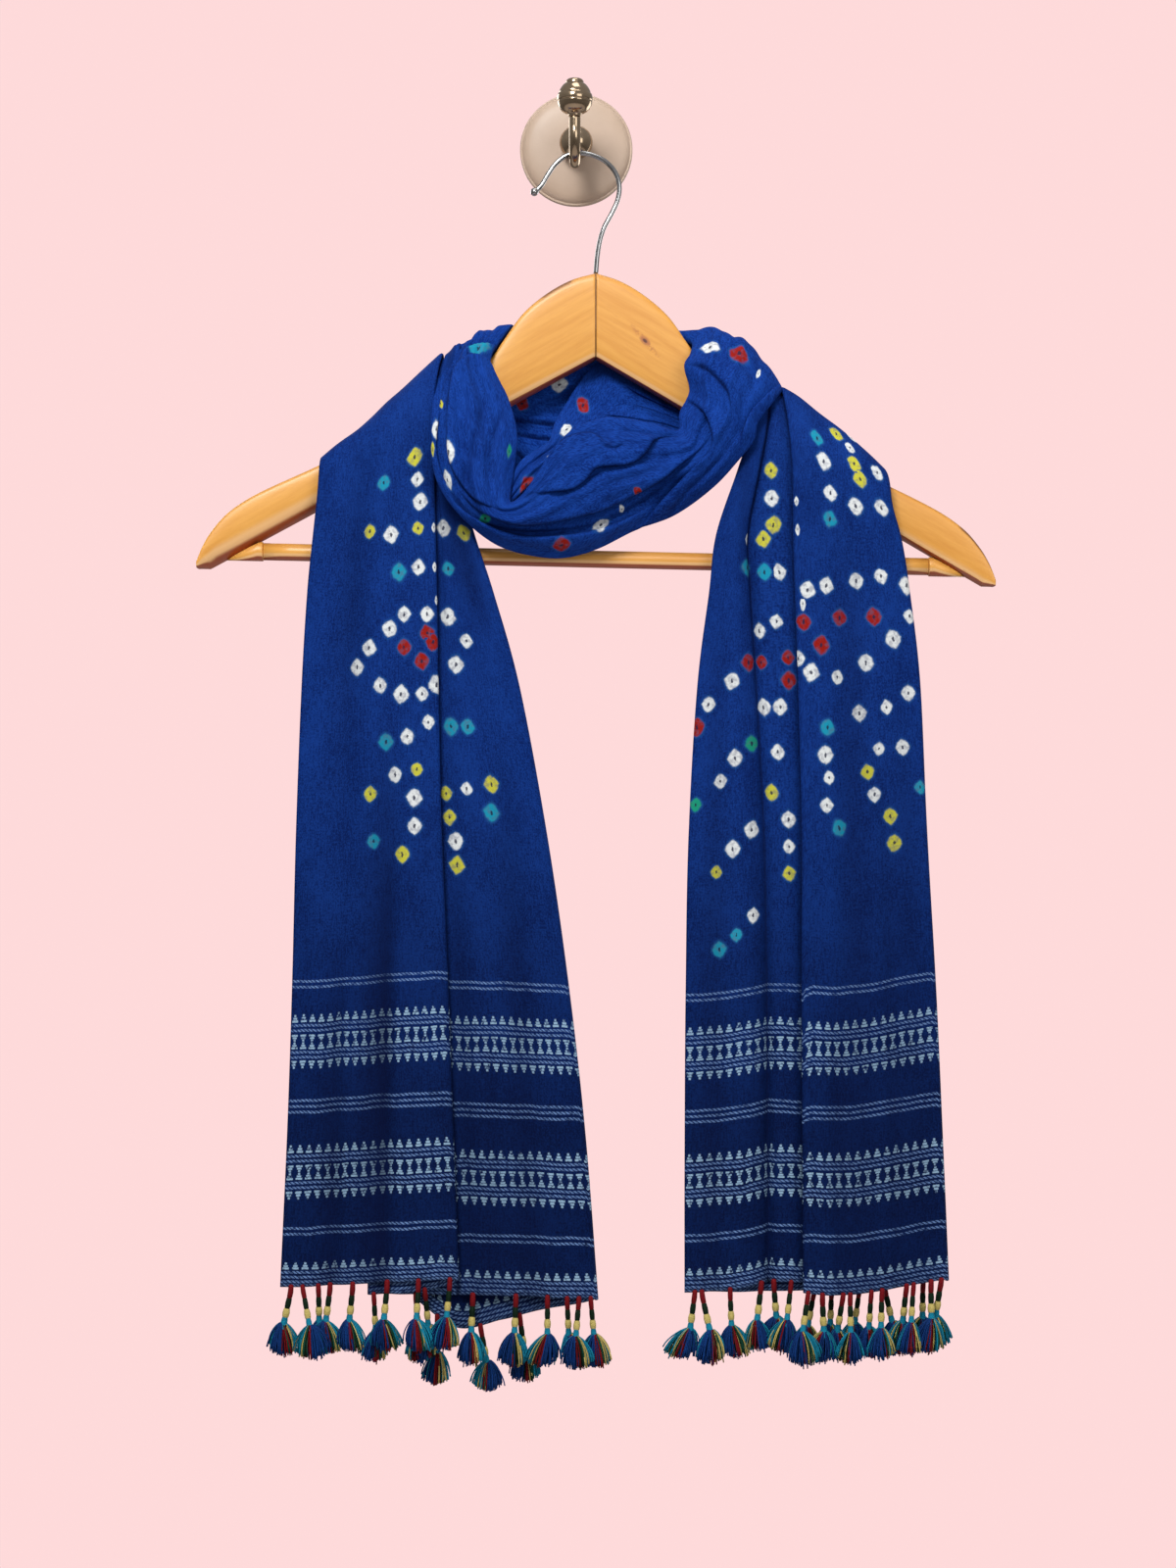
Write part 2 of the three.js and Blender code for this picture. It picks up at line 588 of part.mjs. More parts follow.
/** Lowest point of one layer's hem at an x. */
function hemPoint(row, x, layer) {
  for (let i = 0; i + 1 < row.length; i += 1) {
    const [a, b] = [row[i], row[i + 1]];
    const t = (x - a.point.x) / (b.point.x - a.point.x);
    if ((a.layer === layer || b.layer === layer) && t >= 0 && t <= 1) {
      return a.point.clone().lerp(b.point, t);
    }
  }
  throw new Error(`no ${layer} hem at ${x}`);
}

function tassel(row, { x, swing, near, layer }) {
  const top = hemPoint(row, x, layer);
  const path = TASSEL_PROFILE.map(({ down }) => new THREE.Vector3(
    top.x + swing * Math.min(down / 0.6, 1),
    top.y - near * Math.min(down / 0.6, 1),
    top.z - 2 * SEAM - down * TASSEL_LENGTH,
  ));
  const radius = (_, i) => TASSEL_PROFILE[i].radius;
  return roundBar(path, radius, 6, new THREE.Vector3(1, 0, 0), 0.5);
}

// ---------------------------------------------------------------- the whole object
const FINISH = {
  cloth: { color: 0x16307f, roughness: 0.85, metalness: 0 },
  tassel: { color: 0x1d5fa8, roughness: 0.9, metalness: 0 },
  wood: { color: 0xdc9a52, roughness: 0.45, metalness: 0 },
  wire: { color: 0xc9c9c9, roughness: 0.15, metalness: 1 },
  brass: { color: 0xa8947a, roughness: 0.2, metalness: 1 },
  plate: { color: 0xd8b8a8, roughness: 0.3, metalness: 0 },
};

const shawl = new THREE.Group();

function add(name, geometry, finish) {
  const mesh = new THREE.Mesh(geometry, new THREE.MeshStandardMaterial(FINISH[finish]));
  mesh.name = name;
  shawl.add(mesh);
}

add("wall_plate", wallPlate(), "plate");
add("wall_boss", wallBoss(), "brass");
add("wall_hook", wallHook(), "brass");
add("hook_knob", hookKnob(), "brass");
add("hanger_hook", hangerHook(), "wire");
add("arm_left", hangerArm(-1, 5), "wood");
add("arm_right", hangerArm(1, 1), "wood");
add("trouser_bar", trouserBar(), "wood");
add("bar_socket_left", barSocket(-1), "wood");
add("bar_socket_right", barSocket(1), "wood");

add("fall_left", fall(FALL_LEFT, sectionLeft, "all"), "cloth");
add("fall_right", fall(FALL_RIGHT, sectionRight, "front"), "cloth");
add("fall_right_rear", fall(FALL_RIGHT, sectionRight, "rear"), "cloth");
add("loop_lobe", stretch(LOOP, LOOP_FOLDS, 0, CREASE_ROW, 13), "cloth");
add("loop_swag", stretch(LOOP, LOOP_FOLDS, CREASE_ROW, SHOULDER_ROW, 14), "cloth");
add("loop_knuckle", stretch(LOOP, LOOP_FOLDS, SHOULDER_ROW, 17, 10), "cloth");
add("loop_inner", stretch(INNER, INNER_FOLDS, 0, 6, 13, 9), "cloth");
add("neck_back_inner", stretch(NECK_INNER, NECK_FOLDS, 0, 5, 11), "cloth");
add("neck_back_outer", stretch(NECK_OUTER, NECK_FOLDS, 0, 5, 11), "cloth");

for (const [side, table, section, list] of [
  ["left", FALL_LEFT, sectionLeft, TASSELS_LEFT],
  ["right", FALL_RIGHT, sectionRight, TASSELS_RIGHT],
]) {
  const hem = fallRow(table, section, LAST_ROW);
  list.forEach((place, i) => {
    const number = String(i + 1).padStart(2, "0");
    add(`tassel_${side}_${number}`, tassel(hem, place), "tassel");
  });
}

export default shawl;
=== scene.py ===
# %% [markdown]
# # A tie-dyed shawl on a wooden hanger
# The shawl is one hand-woven length of blue cotton. Its middle is wound once round the neck of
# a wooden hanger, both ends hang down in front, and each end has woven border bands and a row
# of tassels. The hanger's wire hook hangs on a J-shaped hook on the wall.
#
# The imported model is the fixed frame: it says where everything is. Each piece below is a
# finer surface on the form of one of its solids, worked out with numpy from the same short
# tables, and each finish is a small graph of shader nodes.

# %% Load the fixed frame
from functools import partialmethod, reduce
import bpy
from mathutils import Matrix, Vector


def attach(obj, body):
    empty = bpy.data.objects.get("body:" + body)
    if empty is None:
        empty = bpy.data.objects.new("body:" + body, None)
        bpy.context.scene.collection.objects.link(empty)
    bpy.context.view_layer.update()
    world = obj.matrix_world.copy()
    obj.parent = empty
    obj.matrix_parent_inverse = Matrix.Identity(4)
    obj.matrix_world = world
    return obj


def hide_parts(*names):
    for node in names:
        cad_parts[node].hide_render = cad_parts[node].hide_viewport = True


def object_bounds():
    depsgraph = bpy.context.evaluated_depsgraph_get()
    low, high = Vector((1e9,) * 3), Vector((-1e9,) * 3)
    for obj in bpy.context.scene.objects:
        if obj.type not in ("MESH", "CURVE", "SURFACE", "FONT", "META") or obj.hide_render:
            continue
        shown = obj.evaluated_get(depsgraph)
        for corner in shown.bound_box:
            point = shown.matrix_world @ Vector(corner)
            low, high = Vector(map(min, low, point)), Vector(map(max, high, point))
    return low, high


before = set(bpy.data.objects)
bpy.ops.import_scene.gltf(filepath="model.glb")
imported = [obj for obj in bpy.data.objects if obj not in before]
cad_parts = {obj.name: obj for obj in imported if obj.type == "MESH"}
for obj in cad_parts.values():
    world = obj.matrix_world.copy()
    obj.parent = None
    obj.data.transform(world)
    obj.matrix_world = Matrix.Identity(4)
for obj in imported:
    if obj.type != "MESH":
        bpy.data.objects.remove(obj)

from types import SimpleNamespace

import bpy
import numpy as np
from mathutils import Vector

cad_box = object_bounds()
MM = 0.001
cad_middle = (cad_box[0] + cad_box[1]) / 2
print("CAD box in mm:", [[round(x / MM) for x in corner] for corner in cad_box])

# %% [markdown]
# ## Shader maths as plain expressions
# A pattern such as a woven border is arithmetic on the cloth's own coordinates. Linking dozens
# of Math nodes by hand is hard to read, so one small class wraps a socket and turns + - * / on
# it into Math nodes. Everything else goes through one method that adds any node: its settings
# first, because they decide which sockets there are, and then its sockets.

# %% Sockets that calculate
class Value:
    """One output of a node graph; arithmetic on it adds Math nodes."""

    def __init__(self, graph, socket):
        self.graph = graph
        self.socket = socket

    def maths(self, operation, *others):
        """A Math node of that operation, with this value first."""
        sockets = dict(enumerate((self, *others)))
        return self.graph.add("ShaderNodeMath", sockets, operation=operation)

    __add__ = __radd__ = partialmethod(maths, "ADD")
    __sub__ = partialmethod(maths, "SUBTRACT")
    __mul__ = __rmul__ = partialmethod(maths, "MULTIPLY")
    __truediv__ = partialmethod(maths, "DIVIDE")
    __pow__ = partialmethod(maths, "POWER")
    __abs__ = partialmethod(maths, "ABSOLUTE")
    fraction = partialmethod(maths, "FRACT")
    above = partialmethod(maths, "GREATER_THAN")
    larger = partialmethod(maths, "MAXIMUM")

    def __rsub__(self, other):
        return self.graph.add("ShaderNodeMath", {0: other, 1: self}, operation="SUBTRACT")

    def __getitem__(self, name):
        """Another output of the same node."""
        return Value(self.graph, self.socket.node.outputs[name])

    def ramp(self, low, high):
        """0 at or below `low`, 1 at or above `high`, and a smooth S between. With `low` the
        larger, it goes from 1 down to 0."""
        sockets = {0: self, 1: min(low, high), 2: max(low, high), 3: 0, 4: 1}
        if low > high:
            sockets.update({3: 1, 4: 0})
        return self.graph.add("ShaderNodeMapRange", sockets, interpolation_type="SMOOTHSTEP")


class Graph:
    """The node graph of one material, round its Principled shader, or of another data-block
    that has nodes, round its output node."""

    def __init__(self, name, blocks=bpy.data.materials, end="Principled BSDF", **constants):
        self.block = blocks.new(name)
        self.block.use_nodes = True
        self.nodes = self.block.node_tree.nodes
        self.surface = self.nodes[end]
        for words, value in constants.items():
            self.surface.inputs[words.replace("_", " ")].default_value = value

    def add(self, kind, sockets=(), output=0, **settings):
        """A node of that kind: its settings, then its sockets as values or links."""
        node = self.nodes.new(kind)
        for name, value in settings.items():
            setattr(node, name, value)
        for name, value in dict(sockets).items():
            if isinstance(value, Value):
                self.block.node_tree.links.new(value.socket, node.inputs[name])
            else:
                node.inputs[name].default_value = value
        return Value(self, node.outputs[output])

    def feed(self, name, value):
        """Links a value to a socket of the shader or the output node."""
        self.block.node_tree.links.new(value.socket, self.surface.inputs[name])

    def mix(self, share, first, second, blend="MIX"):
        """Colour that goes from the first to the second as the share goes from 0 to 1."""
        sockets = {0: share, 6: first, 7: second}
        return self.add("ShaderNodeMix", sockets, 2, data_type="RGBA", blend_type=blend)

    def stretched(self, place, scale, turn=(0, 0, 0), middle=(0, 0, 0)):
        """Coordinates from a middle point, turned back by `turn` and then scaled on each axis."""
        sizes = [1 / x for x in scale]
        sockets = {"Vector": place, "Location": middle, "Rotation": turn, "Scale": sizes}
        return self.add("ShaderNodeMapping", sockets, vector_type="TEXTURE")

    def noise(self, place, scale, detail, roughness=0.5):
        """Smooth noise from 0 to 1 with that many bumps to the unit of `place`."""
        sockets = {"Vector": place, "Scale": scale, "Detail": detail, "Roughness": roughness}
        return self.add("ShaderNodeTexNoise", sockets)

    def bump(self, height, distance, strength):
        """Feeds the shader's normal from a height, given in units of `distance` metres."""
        sockets = {"Strength": strength, "Distance": distance, "Height": height}
        self.feed("Normal", self.add("ShaderNodeBump", sockets))

    def here(self):
        """The place on the piece, in metres."""
        return self.add("ShaderNodeTexCoord", output="Object")


def colour(red, green, blue):
    """A linear colour with full alpha."""
    return (red, green, blue, 1)


print("shader maths ready")

# %% [markdown]
# ## The studio
# A product picture has one large soft light from the upper front, a weaker one from the other
# side and something to lift the back. The camera looks level, straight at the wall. The world
# shows pale pink to the camera alone, so its tint doesn't colour the cloth; the light that it
# gives is neutral and a little darker from below, which metal needs to look like metal.

# %% Camera, lights, world and floor
CAMERA_AWAY = 1.5  # from the front of the cloth
CAMERA_LENS = 61.7
CLOTH_FRONT = -0.055
CAMERA_ASIDE, CAMERA_LOWER = 0.0044, 0.0302  # to the left of the box's middle, and below it
camera_place = Vector((
    cad_middle.x - CAMERA_ASIDE, CLOTH_FRONT - CAMERA_AWAY, cad_middle.z - CAMERA_LOWER
))


def circle(sides):
    """Angles evenly spaced round a circle."""
    return np.linspace(0, 2 * np.pi, sides, endpoint=False)


def placed(name, data):
    """A new object in the scene for a data-block."""
    thing = bpy.data.objects.new(name, data)
    bpy.context.scene.collection.objects.link(thing)
    return thing


camera = placed("camera", bpy.data.cameras.new("camera"))
camera.data.lens = CAMERA_LENS
camera.location = camera_place
camera.rotation_euler = (Vector((0, 1, 0)).to_track_quat("-Z", "Y")).to_euler()
bpy.context.scene.camera = camera
bpy.context.scene.view_settings.view_transform = "Standard"


def soft_box(name, place, aim, power, size):
    """A square area light at `place` that points at `aim`."""
    light = bpy.data.lights.new(name, "AREA")
    light.energy, light.size = power, size
    lamp = placed(name, light)
    lamp.location = place
    lamp.rotation_euler = (Vector(aim) - Vector(place)).to_track_quat("-Z", "Y").to_euler()


soft_box("key_light", (-0.35, -1.35, 0.75), (0.0, 0.0, -0.25), 22, 0.5)
soft_box("fill_light", (0.9, -1.6, 0.1), (0.0, 0.0, -0.35), 7, 0.9)
soft_box("top_light", (0.1, -0.25, 1.0), (0.0, -0.05, -0.2), 3, 0.5)
soft_box("back_light_left", (-1.2, 1.6, 0.3), (0.0, 0.0, -0.35), 12, 1.0)
soft_box("back_light_right", (1.3, 1.4, -0.4), (0.0, 0.0, -0.35), 9, 1.0)

BACKGROUND_PINK = colour(0.992, 0.701, 0.704)
SKY_GREY, GROUND_GREY = colour(0.80, 0.80, 0.82), colour(0.30, 0.28, 0.27)
SKY_STRENGTH = 0.50

world = Graph("studio", bpy.data.worlds, "World Output")
world.nodes.remove(world.nodes["Background"])
bpy.context.scene.world = world.block
height = world.add("ShaderNodeSeparateXYZ", {0: world.add("ShaderNodeTexCoord")}, "Z")
rise = world.add("ShaderNodeMapRange", {0: height, 1: -0.5, 2: 0.5})
tone = world.mix(rise, GROUND_GREY, SKY_GREY)
lit = world.add("ShaderNodeBackground", {"Color": tone, "Strength": SKY_STRENGTH})
seen = world.add("ShaderNodeBackground", {"Color": BACKGROUND_PINK})
by_camera = world.add("ShaderNodeLightPath", output="Is Camera Ray")
world.feed("Surface", world.add("ShaderNodeMixShader", {0: by_camera, 1: lit, 2: seen}))

FLOOR_Z = -1.7
FLOOR_RADIUS, FLOOR_SIDES = 2.2, 96
around = circle(FLOOR_SIDES)
floor_rim = np.stack([np.cos(around), np.sin(around), 0 * around], -1) * FLOOR_RADIUS
floor_mesh = bpy.data.meshes.new("floor")
floor_mesh.from_pydata((floor_rim + (0, 0, FLOOR_Z)).tolist(), [], [list(range(len(around)))])
floor = placed("floor", floor_mesh)
floor_look = Graph("pale_floor", Base_Color=colour(0.82, 0.76, 0.75), Roughness=0.8)
floor_mesh.materials.append(floor_look.block)
print("camera at", [round(x, 3) for x in camera_place], "floor at z =", FLOOR_Z)

# %% [markdown]
# ## Surfaces from arrays
# Every piece is a grid of points. A closed round piece, such as the knob or the wire, is a row
# of rings with a middle point at each end. A cloth is a grid with two skins. Both are computed
# as whole arrays. A smooth curve through the rows of a short table gives as many rows as the
# finished surface needs.

# %% Smooth tables
def smooth(knots, values, places):
    """Values at `places` on a smooth curve through `values` at `knots`.

    Between two knots a and b the curve is the cubic that starts at a's value and ends at b's,
    with the slope of the chord from the knot before a to b at its start, and of the chord
    from a to the knot after b at its end.
    """
    knots, values, places = (np.asarray(x, float) for x in (knots, values, places))
    a = np.clip(np.searchsorted(knots, places) - 1, 0, len(knots) - 2)
    before, b, after = np.maximum(a - 1, 0), a + 1, np.minimum(a + 2, len(knots) - 1)
    wide = (...,) + (None,) * (values.ndim - 1)
    span = (knots[b] - knots[a])[wide]
    t = np.clip((places - knots[a])[wide] / span, 0, 1)
    start = (values[b] - values[before]) / (knots[b] - knots[before])[wide] * span
    stop = (values[after] - values[a]) / (knots[after] - knots[a])[wide] * span
    return (
        (2 * t**3 - 3 * t**2 + 1) * values[a]
        + (t**3 - 2 * t**2 + t) * start
        + (3 * t**2 - 2 * t**3) * values[b]
        + (t**3 - t**2) * stop
    )


def lengths(points):
    """Distance along a row of points from its first one."""
    gaps = np.linalg.norm(np.diff(points, axis=0), axis=-1)
    return np.concatenate([[0], np.cumsum(gaps)])


def resampled(points, count):
    """`count` points on a smooth curve through the points, evenly spaced along the old ones."""
    way = lengths(points)
    return smooth(way, points, np.linspace(0, way[-1], count))


def path_through(points, count):
    """`count` points, evenly spaced, on a smooth path through a few points given in mm."""
    return resampled(resampled(np.array(points, float) * MM, 40 * len(points)), count)


class Table:
    """A short table with named columns; its first column says where each row is."""

    def __init__(self, columns, *rows):
        self.columns = columns.split()
        self.rows = np.array(rows, float)

    def at(self, places):
        """Smooth values of every column at the places, by name."""
        values = smooth(self.rows[:, 0], self.rows, places)
        return SimpleNamespace(**dict(zip(self.columns, values.T)))

# %% Pieces of rings
def new_piece(name, points, faces, look):
    """An object with its place in its mesh, shaded smooth, with a graph's material."""
    mesh = bpy.data.meshes.new(name)
    mesh.from_pydata(points.tolist(), [], [list(map(int, face)) for face in faces])
    mesh.polygons.foreach_set("use_smooth", np.ones(len(mesh.polygons), bool))
    mesh.materials.append(look.block)
    return placed(name, mesh)


def note(piece, name, kind, domain, values):
    """A named number or colour for each point or each corner of a piece."""
    field = "value" if kind == "FLOAT" else "color"
    piece.data.attributes.new(name, kind, domain).data.foreach_set(field, values.reshape(-1))


def stands_for(piece, slot, *nodes):
    """The piece rides on the frame and hides the nodes. `slot` is not used."""
    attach(piece, "root")
    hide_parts(*nodes)
    print(f"{piece.name}: {len(piece.data.polygons)} faces for {len(nodes)} node(s)")


def ring_skin(rows, sides):
    """Faces between `rows` rings with `sides` points each."""
    ring = np.arange(sides)
    onward = np.roll(ring, -1)
    r = np.arange(rows - 1)[:, None] * sides
    faces = np.stack([r + ring, r + onward, r + sides + onward, r + sides + ring], -1)
    return faces.reshape(-1, 4)


def ring_faces(rows, sides):
    """Faces of a row of rings, and fans to a middle point at each end."""
    ring = np.arange(sides)
    onward = np.roll(ring, -1)
    last = (rows - 1) * sides
    first_middle, last_middle = rows * sides, rows * sides + 1
    start = np.stack([onward, ring, np.full(sides, first_middle)], -1)
    stop = np.stack([last + ring, last + onward, np.full(sides, last_middle)], -1)
    return [*ring_skin(rows, sides), *start, *stop]


def ring_points(rings):
    """The rings' points in a row, then the middle points of the first and last ring."""
    middles = rings[[0, -1]].mean(axis=1)
    return np.concatenate([rings.reshape(-1, 3), middles])


def outward(points, faces):
    """The same faces, turned round if the solid that they close is inside out."""
    corners = np.array([face[:3] for face in faces])
    a, b, c = (points[corners[:, k]] - points.mean(0) for k in range(3))
    volume = np.einsum("ij,ij->", a, np.cross(b, c))
    return faces if volume > 0 else [face[::-1] for face in faces]


def round_piece(name, rings, look):
    """A closed piece through a row of rings."""
    points = ring_points(rings)
    return new_piece(name, points, outward(points, ring_faces(*rings.shape[:2])), look)


def turned(profile, centre, axis, sides=72):
    """Rings of a lathe-turned piece: each radius of the profile at its height along the axis."""
    radius, rise = np.array(profile, float).T * MM
    angle = circle(sides)
    axis = np.array(axis, float)
    across = np.array([1.0, 0, 0])
    other = np.cross(axis, across)
    wheel = np.cos(angle)[:, None] * across + np.sin(angle)[:, None] * other
    return np.array(centre) * MM + rise[:, None, None] * axis + radius[:, None, None] * wheel


def swept(paths, radius, across, sides):
    """Rings round one path or many: each ring is radius * (cos(angle) * u + sin(angle) * v),
    with u and v square to the path and u square to `across`, which never lies along it."""
    along = np.gradient(paths, axis=-2)
    along /= np.linalg.norm(along, axis=-1, keepdims=True)
    u = np.cross(along, across)
    u /= np.linalg.norm(u, axis=-1, keepdims=True)
    v = np.cross(along, u)
    angle = circle(sides)[:, None]
    radius = np.broadcast_to(radius, paths.shape[:-1])[..., None, None]
    wheel = np.cos(angle) * u[..., None, :] + np.sin(angle) * v[..., None, :]
    return paths[..., None, :] + radius * wheel


print("surface tools ready")

# %% [markdown]
# ## The wall hook
# A round frosted plate carries a metal ball, and a J-shaped arm curls out of the ball to an
# acorn knob. Turned things are profiles carried round an axis: the profile is given as pairs
# of radius and height, with the fine grooves a lathe leaves.

# %% Finishes of the wall hook and the wire
def clouded(name, scale, detail, dark, light, **constants):
    """A finish whose colour drifts between two tones: its graph, and the noise it drifts by."""
    look = Graph(name, **constants)
    drift = look.noise(look.here(), scale, detail)
    look.feed("Base Color", look.mix(drift, colour(*dark), colour(*light)))
    return look, drift


plate_look, _ = clouded("frosted_plate", 45, 3, (0.42, 0.30, 0.215), (0.56, 0.42, 0.32),
                        Roughness=0.46, IOR=1.46, Coat_Weight=0.08, Coat_Roughness=0.3)
plate_look.bump(plate_look.noise(plate_look.here(), 900, 1), 0.00006, 0.5)

nickel, breath = clouded("antique_nickel", 160, 3, (0.31, 0.225, 0.14), (0.46, 0.35, 0.24),
                         Metallic=1.0)
nickel.feed("Roughness", breath * 0.14 + 0.10)

chrome, drawn = clouded("chrome_wire", 240, 2, (0.28, 0.28, 0.28), (0.46, 0.46, 0.46),
                        Metallic=1.0)
chrome.feed("Roughness", drawn * 0.12 + 0.08)

# %% Plate, ball, J and knob
TO_FRONT = (0, -1, 0)
PLATE_PROFILE = [
    (0.4, 0), (32.3, 0), (32.5, 0.3), (32.5, 2.6), (32.2, 3.1), (31.6, 3.2), (31.3, 2.9),
    (31.0, 3.3), (30.4, 4.2), (29.0, 5.2), (26.5, 6.0), (22.0, 6.6), (15.0, 6.95), (8.0, 7.0),
    (0.4, 7.0),
]
plate = round_piece("wall_plate_fine", turned(PLATE_PROFILE, (0, 0, 0), TO_FRONT, 120),
                    plate_look)
stands_for(plate, "plate", "wall_plate")

BALL_RADIUS, BALL_OUT, BALL_Z = 9.5, 16, 1
BALL_BACK, BALL_FRONT = 0.36, np.pi - 0.04  # angles from its back, where the plate cuts it
ball_rise = BALL_OUT - BALL_RADIUS * np.cos(np.linspace(BALL_BACK, BALL_FRONT, 30))
ball_girth = np.sqrt(BALL_RADIUS**2 - (ball_rise - BALL_OUT) ** 2)
ball_profile = np.stack([ball_girth, ball_rise], -1)
ball = round_piece("wall_ball", turned(ball_profile, (0, 0, BALL_Z), TO_FRONT), nickel)
stands_for(ball, "brass", "wall_boss")

HOOK_X, HOOK_RADIUS, HOOK_FRONT, HOOK_TOP = -0.6, 3.2, -54.5, 6
J_ROUTE = [
    (-25.9, 0), (-28.5, -0.4), (-31.9, -6), (-35.4, -12.4), (-39.1, -15.9), (-43, -16.5),
    (-47.5, -15.1), (-51.8, -11.1), (-54.5, -5), (-54.5, 1), (-54.5, 6),
]
j_path = path_through([(HOOK_X, y, z) for y, z in J_ROUTE], 90)
j_rings = swept(j_path, HOOK_RADIUS * MM, (1, 0, 0), 28)
stands_for(round_piece("wall_j", j_rings, nickel), "brass", "wall_hook")

KNOB_PROFILE = [
    (0.3, 0.35), (3.2, 0.35), (3.6, 0.8), (3.7, 1.5), (4.4, 2.1), (5.8, 2.6), (7.3, 3.6),
    (8.7, 5.4), (9.5, 7.5), (9.7, 8.5), (9.4, 8.9), (9.8, 9.3), (9.9, 10.8), (9.7, 12.2),
    (9.3, 13.0), (8.9, 13.2), (8.9, 13.6), (8.5, 14.9), (7.6, 16.5), (6.5, 17.9), (5.4, 18.7),
    (5.0, 18.9), (5.0, 19.4), (4.8, 20.2), (3.9, 21.1), (2.2, 21.6), (0.3, 21.8),
]
knob_fine = resampled(np.array(KNOB_PROFILE), 130)
knob_rings = turned(knob_fine, (HOOK_X, HOOK_FRONT, HOOK_TOP), (0, 0, 1))
stands_for(round_piece("wall_knob", knob_rings, nickel), "brass", "hook_knob")

# %% [markdown]
# ## The hanger
# Two arms of honey-coloured beech meet in a mitre. Each arm is a board whose upper edge falls
# along a curve and whose underside is straight; its ends come forward. A section of the arm is
# an eight-cornered outline. Cutting every corner twice, a quarter of the way along its edges,
# rounds it the way sanding does.

# %% Wood
HANGER = SimpleNamespace(  # mm; its apex is at x and z, and the drops are below it
    x=11.2, z=-79.2, tilt=0.0227, y=-42, bow=14, span=222, thickness=14,
    under_drop=48.2, under_slope=0.575, tip_drop=172,
)
KNOT_X, KNOT_Z = 0.0387, -0.118  # a small knot on the right arm's block
BEECH = SimpleNamespace(
    dark=colour(0.67, 0.285, 0.044), light=colour(0.77, 0.365, 0.066),
    patch=colour(0.83, 0.42, 0.09), pore=colour(0.55, 0.21, 0.04),
    streak=colour(0.42, 0.12, 0.03), knot=colour(0.42, 0.13, 0.04),
    # Painted light, chosen by which way the wood faces: top is painted shade on upward faces, the
    # pale colour before underside is a painted highlight along the lower edge, and underside is
    # painted shade below.
    eye=colour(0.12, 0.03, 0.015), top=colour(0.42, 0.155, 0.026),
    painted_edge_highlight=colour(0.95, 0.60, 0.30), underside=colour(0.34, 0.064, 0.014),
    scorched=colour(0.15, 0.050, 0.018), seam=colour(0.10, 0.04, 0.015),
)


def wood(name, slope, knot=False, scorch=(0, 1)):
    """Varnished beech whose grain runs along an arm that falls by `slope` radians. A scorch is
    a brown stretch of the upper edge: the x of its middle and its half length, in mm."""
    look = Graph(name, Coat_Weight=0.06, Coat_Roughness=0.3)
    place = look.here()

    def grained(scale, detail, roughness=0.5):
        """Noise with that many bumps to the metre, along the grain and across it."""
        return look.noise(look.stretched(place, scale, (0, slope, 0)), 1, detail, roughness)

    grain = grained((22, 260, 330), 5, 0.62)
    pores = grained((160, 1400, 2600), 2)
    stains = [
        (grained((9, 30, 26), 3).ramp(0.35, 0.75) * 0.5, BEECH.patch),
        (pores.ramp(0.60, 0.74) * 0.28, BEECH.pore),
    ]
    if knot:
        def reach(scale, tilt):
            """Distance from the knot's middle, 1 at the rim of an ellipse."""
            spot = look.stretched(place, scale, (0, slope + tilt, 0), (KNOT_X, 0, KNOT_Z))
            flat = look.add("ShaderNodeVectorMath", {0: spot, 1: (1, 0, 1)}, operation="MULTIPLY")
            return look.add("ShaderNodeVectorMath", {0: flat}, "Value", operation="LENGTH")

        eye, flare = reach((220, 1, 400), 0.25), reach((60, 1, 460), 0.35)
        streak = flare.ramp(1.0, 0.3) * look.noise(place, 700, 2).ramp(0.4, 0.62)
        stains += [
            (streak * 0.6, BEECH.streak), (eye.ramp(1.0, 0.55) * 0.75, BEECH.knot),
            (eye.ramp(0.5, 0.2), BEECH.eye),
        ]
    normal = look.add("ShaderNodeNewGeometry", output="Normal")
    upward = look.add("ShaderNodeSeparateXYZ", {0: normal}, "Z")
    # painted light by facing: a darker top (painted shade), a pale line along the lower edge
    # (painted highlight) and a dark underside (painted shade)
    stains += [
        (upward.ramp(0.2, 0.6) * 0.4, BEECH.top), (upward.ramp(-0.10, -0.30) * 0.6, BEECH.painted_edge_highlight),
        (upward.ramp(-0.45, -0.62), BEECH.underside),
    ]
    if slope:
        x = look.add("ShaderNodeSeparateXYZ", {0: place}) * 1000
        near = (abs(x - scorch[0]) / scorch[1] + (pores - 0.5)).ramp(1.1, 0.7)
        stains += [
            (near * upward.ramp(0.15, 0.45) * 0.85, BEECH.scorched),
            (abs(x - HANGER.x).ramp(0.55, 0.2) * 0.85, BEECH.seam),
        ]
    honey = look.mix(grain.ramp(0.25, 0.75), BEECH.dark, BEECH.light)
    for share, stain in stains:
        honey = look.mix(share, honey, stain)
    look.feed("Base Color", honey)
    look.feed("Roughness", grain * 0.16 + 0.30)
    look.bump(grain * 0.6 + pores, 0.00012, 0.35)
    return look


UNDER_ANGLE = float(np.arctan(HANGER.under_slope))
wood_left = wood("beech_left", -UNDER_ANGLE, scorch=(-11, 10))
wood_right = wood("beech_right", UNDER_ANGLE, knot=True, scorch=(222, 9))
wood_bar = wood("beech_bar", 0.0)

# %% Arms
ARM_TOP = Table(
    "at drop",
    (0, 0), (14, 4.4), (28, 12.6), (41, 24), (51, 38), (60, 51), (74, 64), (100, 82),
    (152, 111), (190, 130), (205, 140.5), (214, 151), (219, 160), (222, 168),
)


def on_hanger(side, y, drop):
    """Points of the hanger from their distance to the side and their drop below its apex, mm."""
    side, y, drop = np.broadcast_arrays(side, y, drop)
    return np.stack([HANGER.x + side, y, HANGER.z - drop - HANGER.tilt * side], -1) * MM


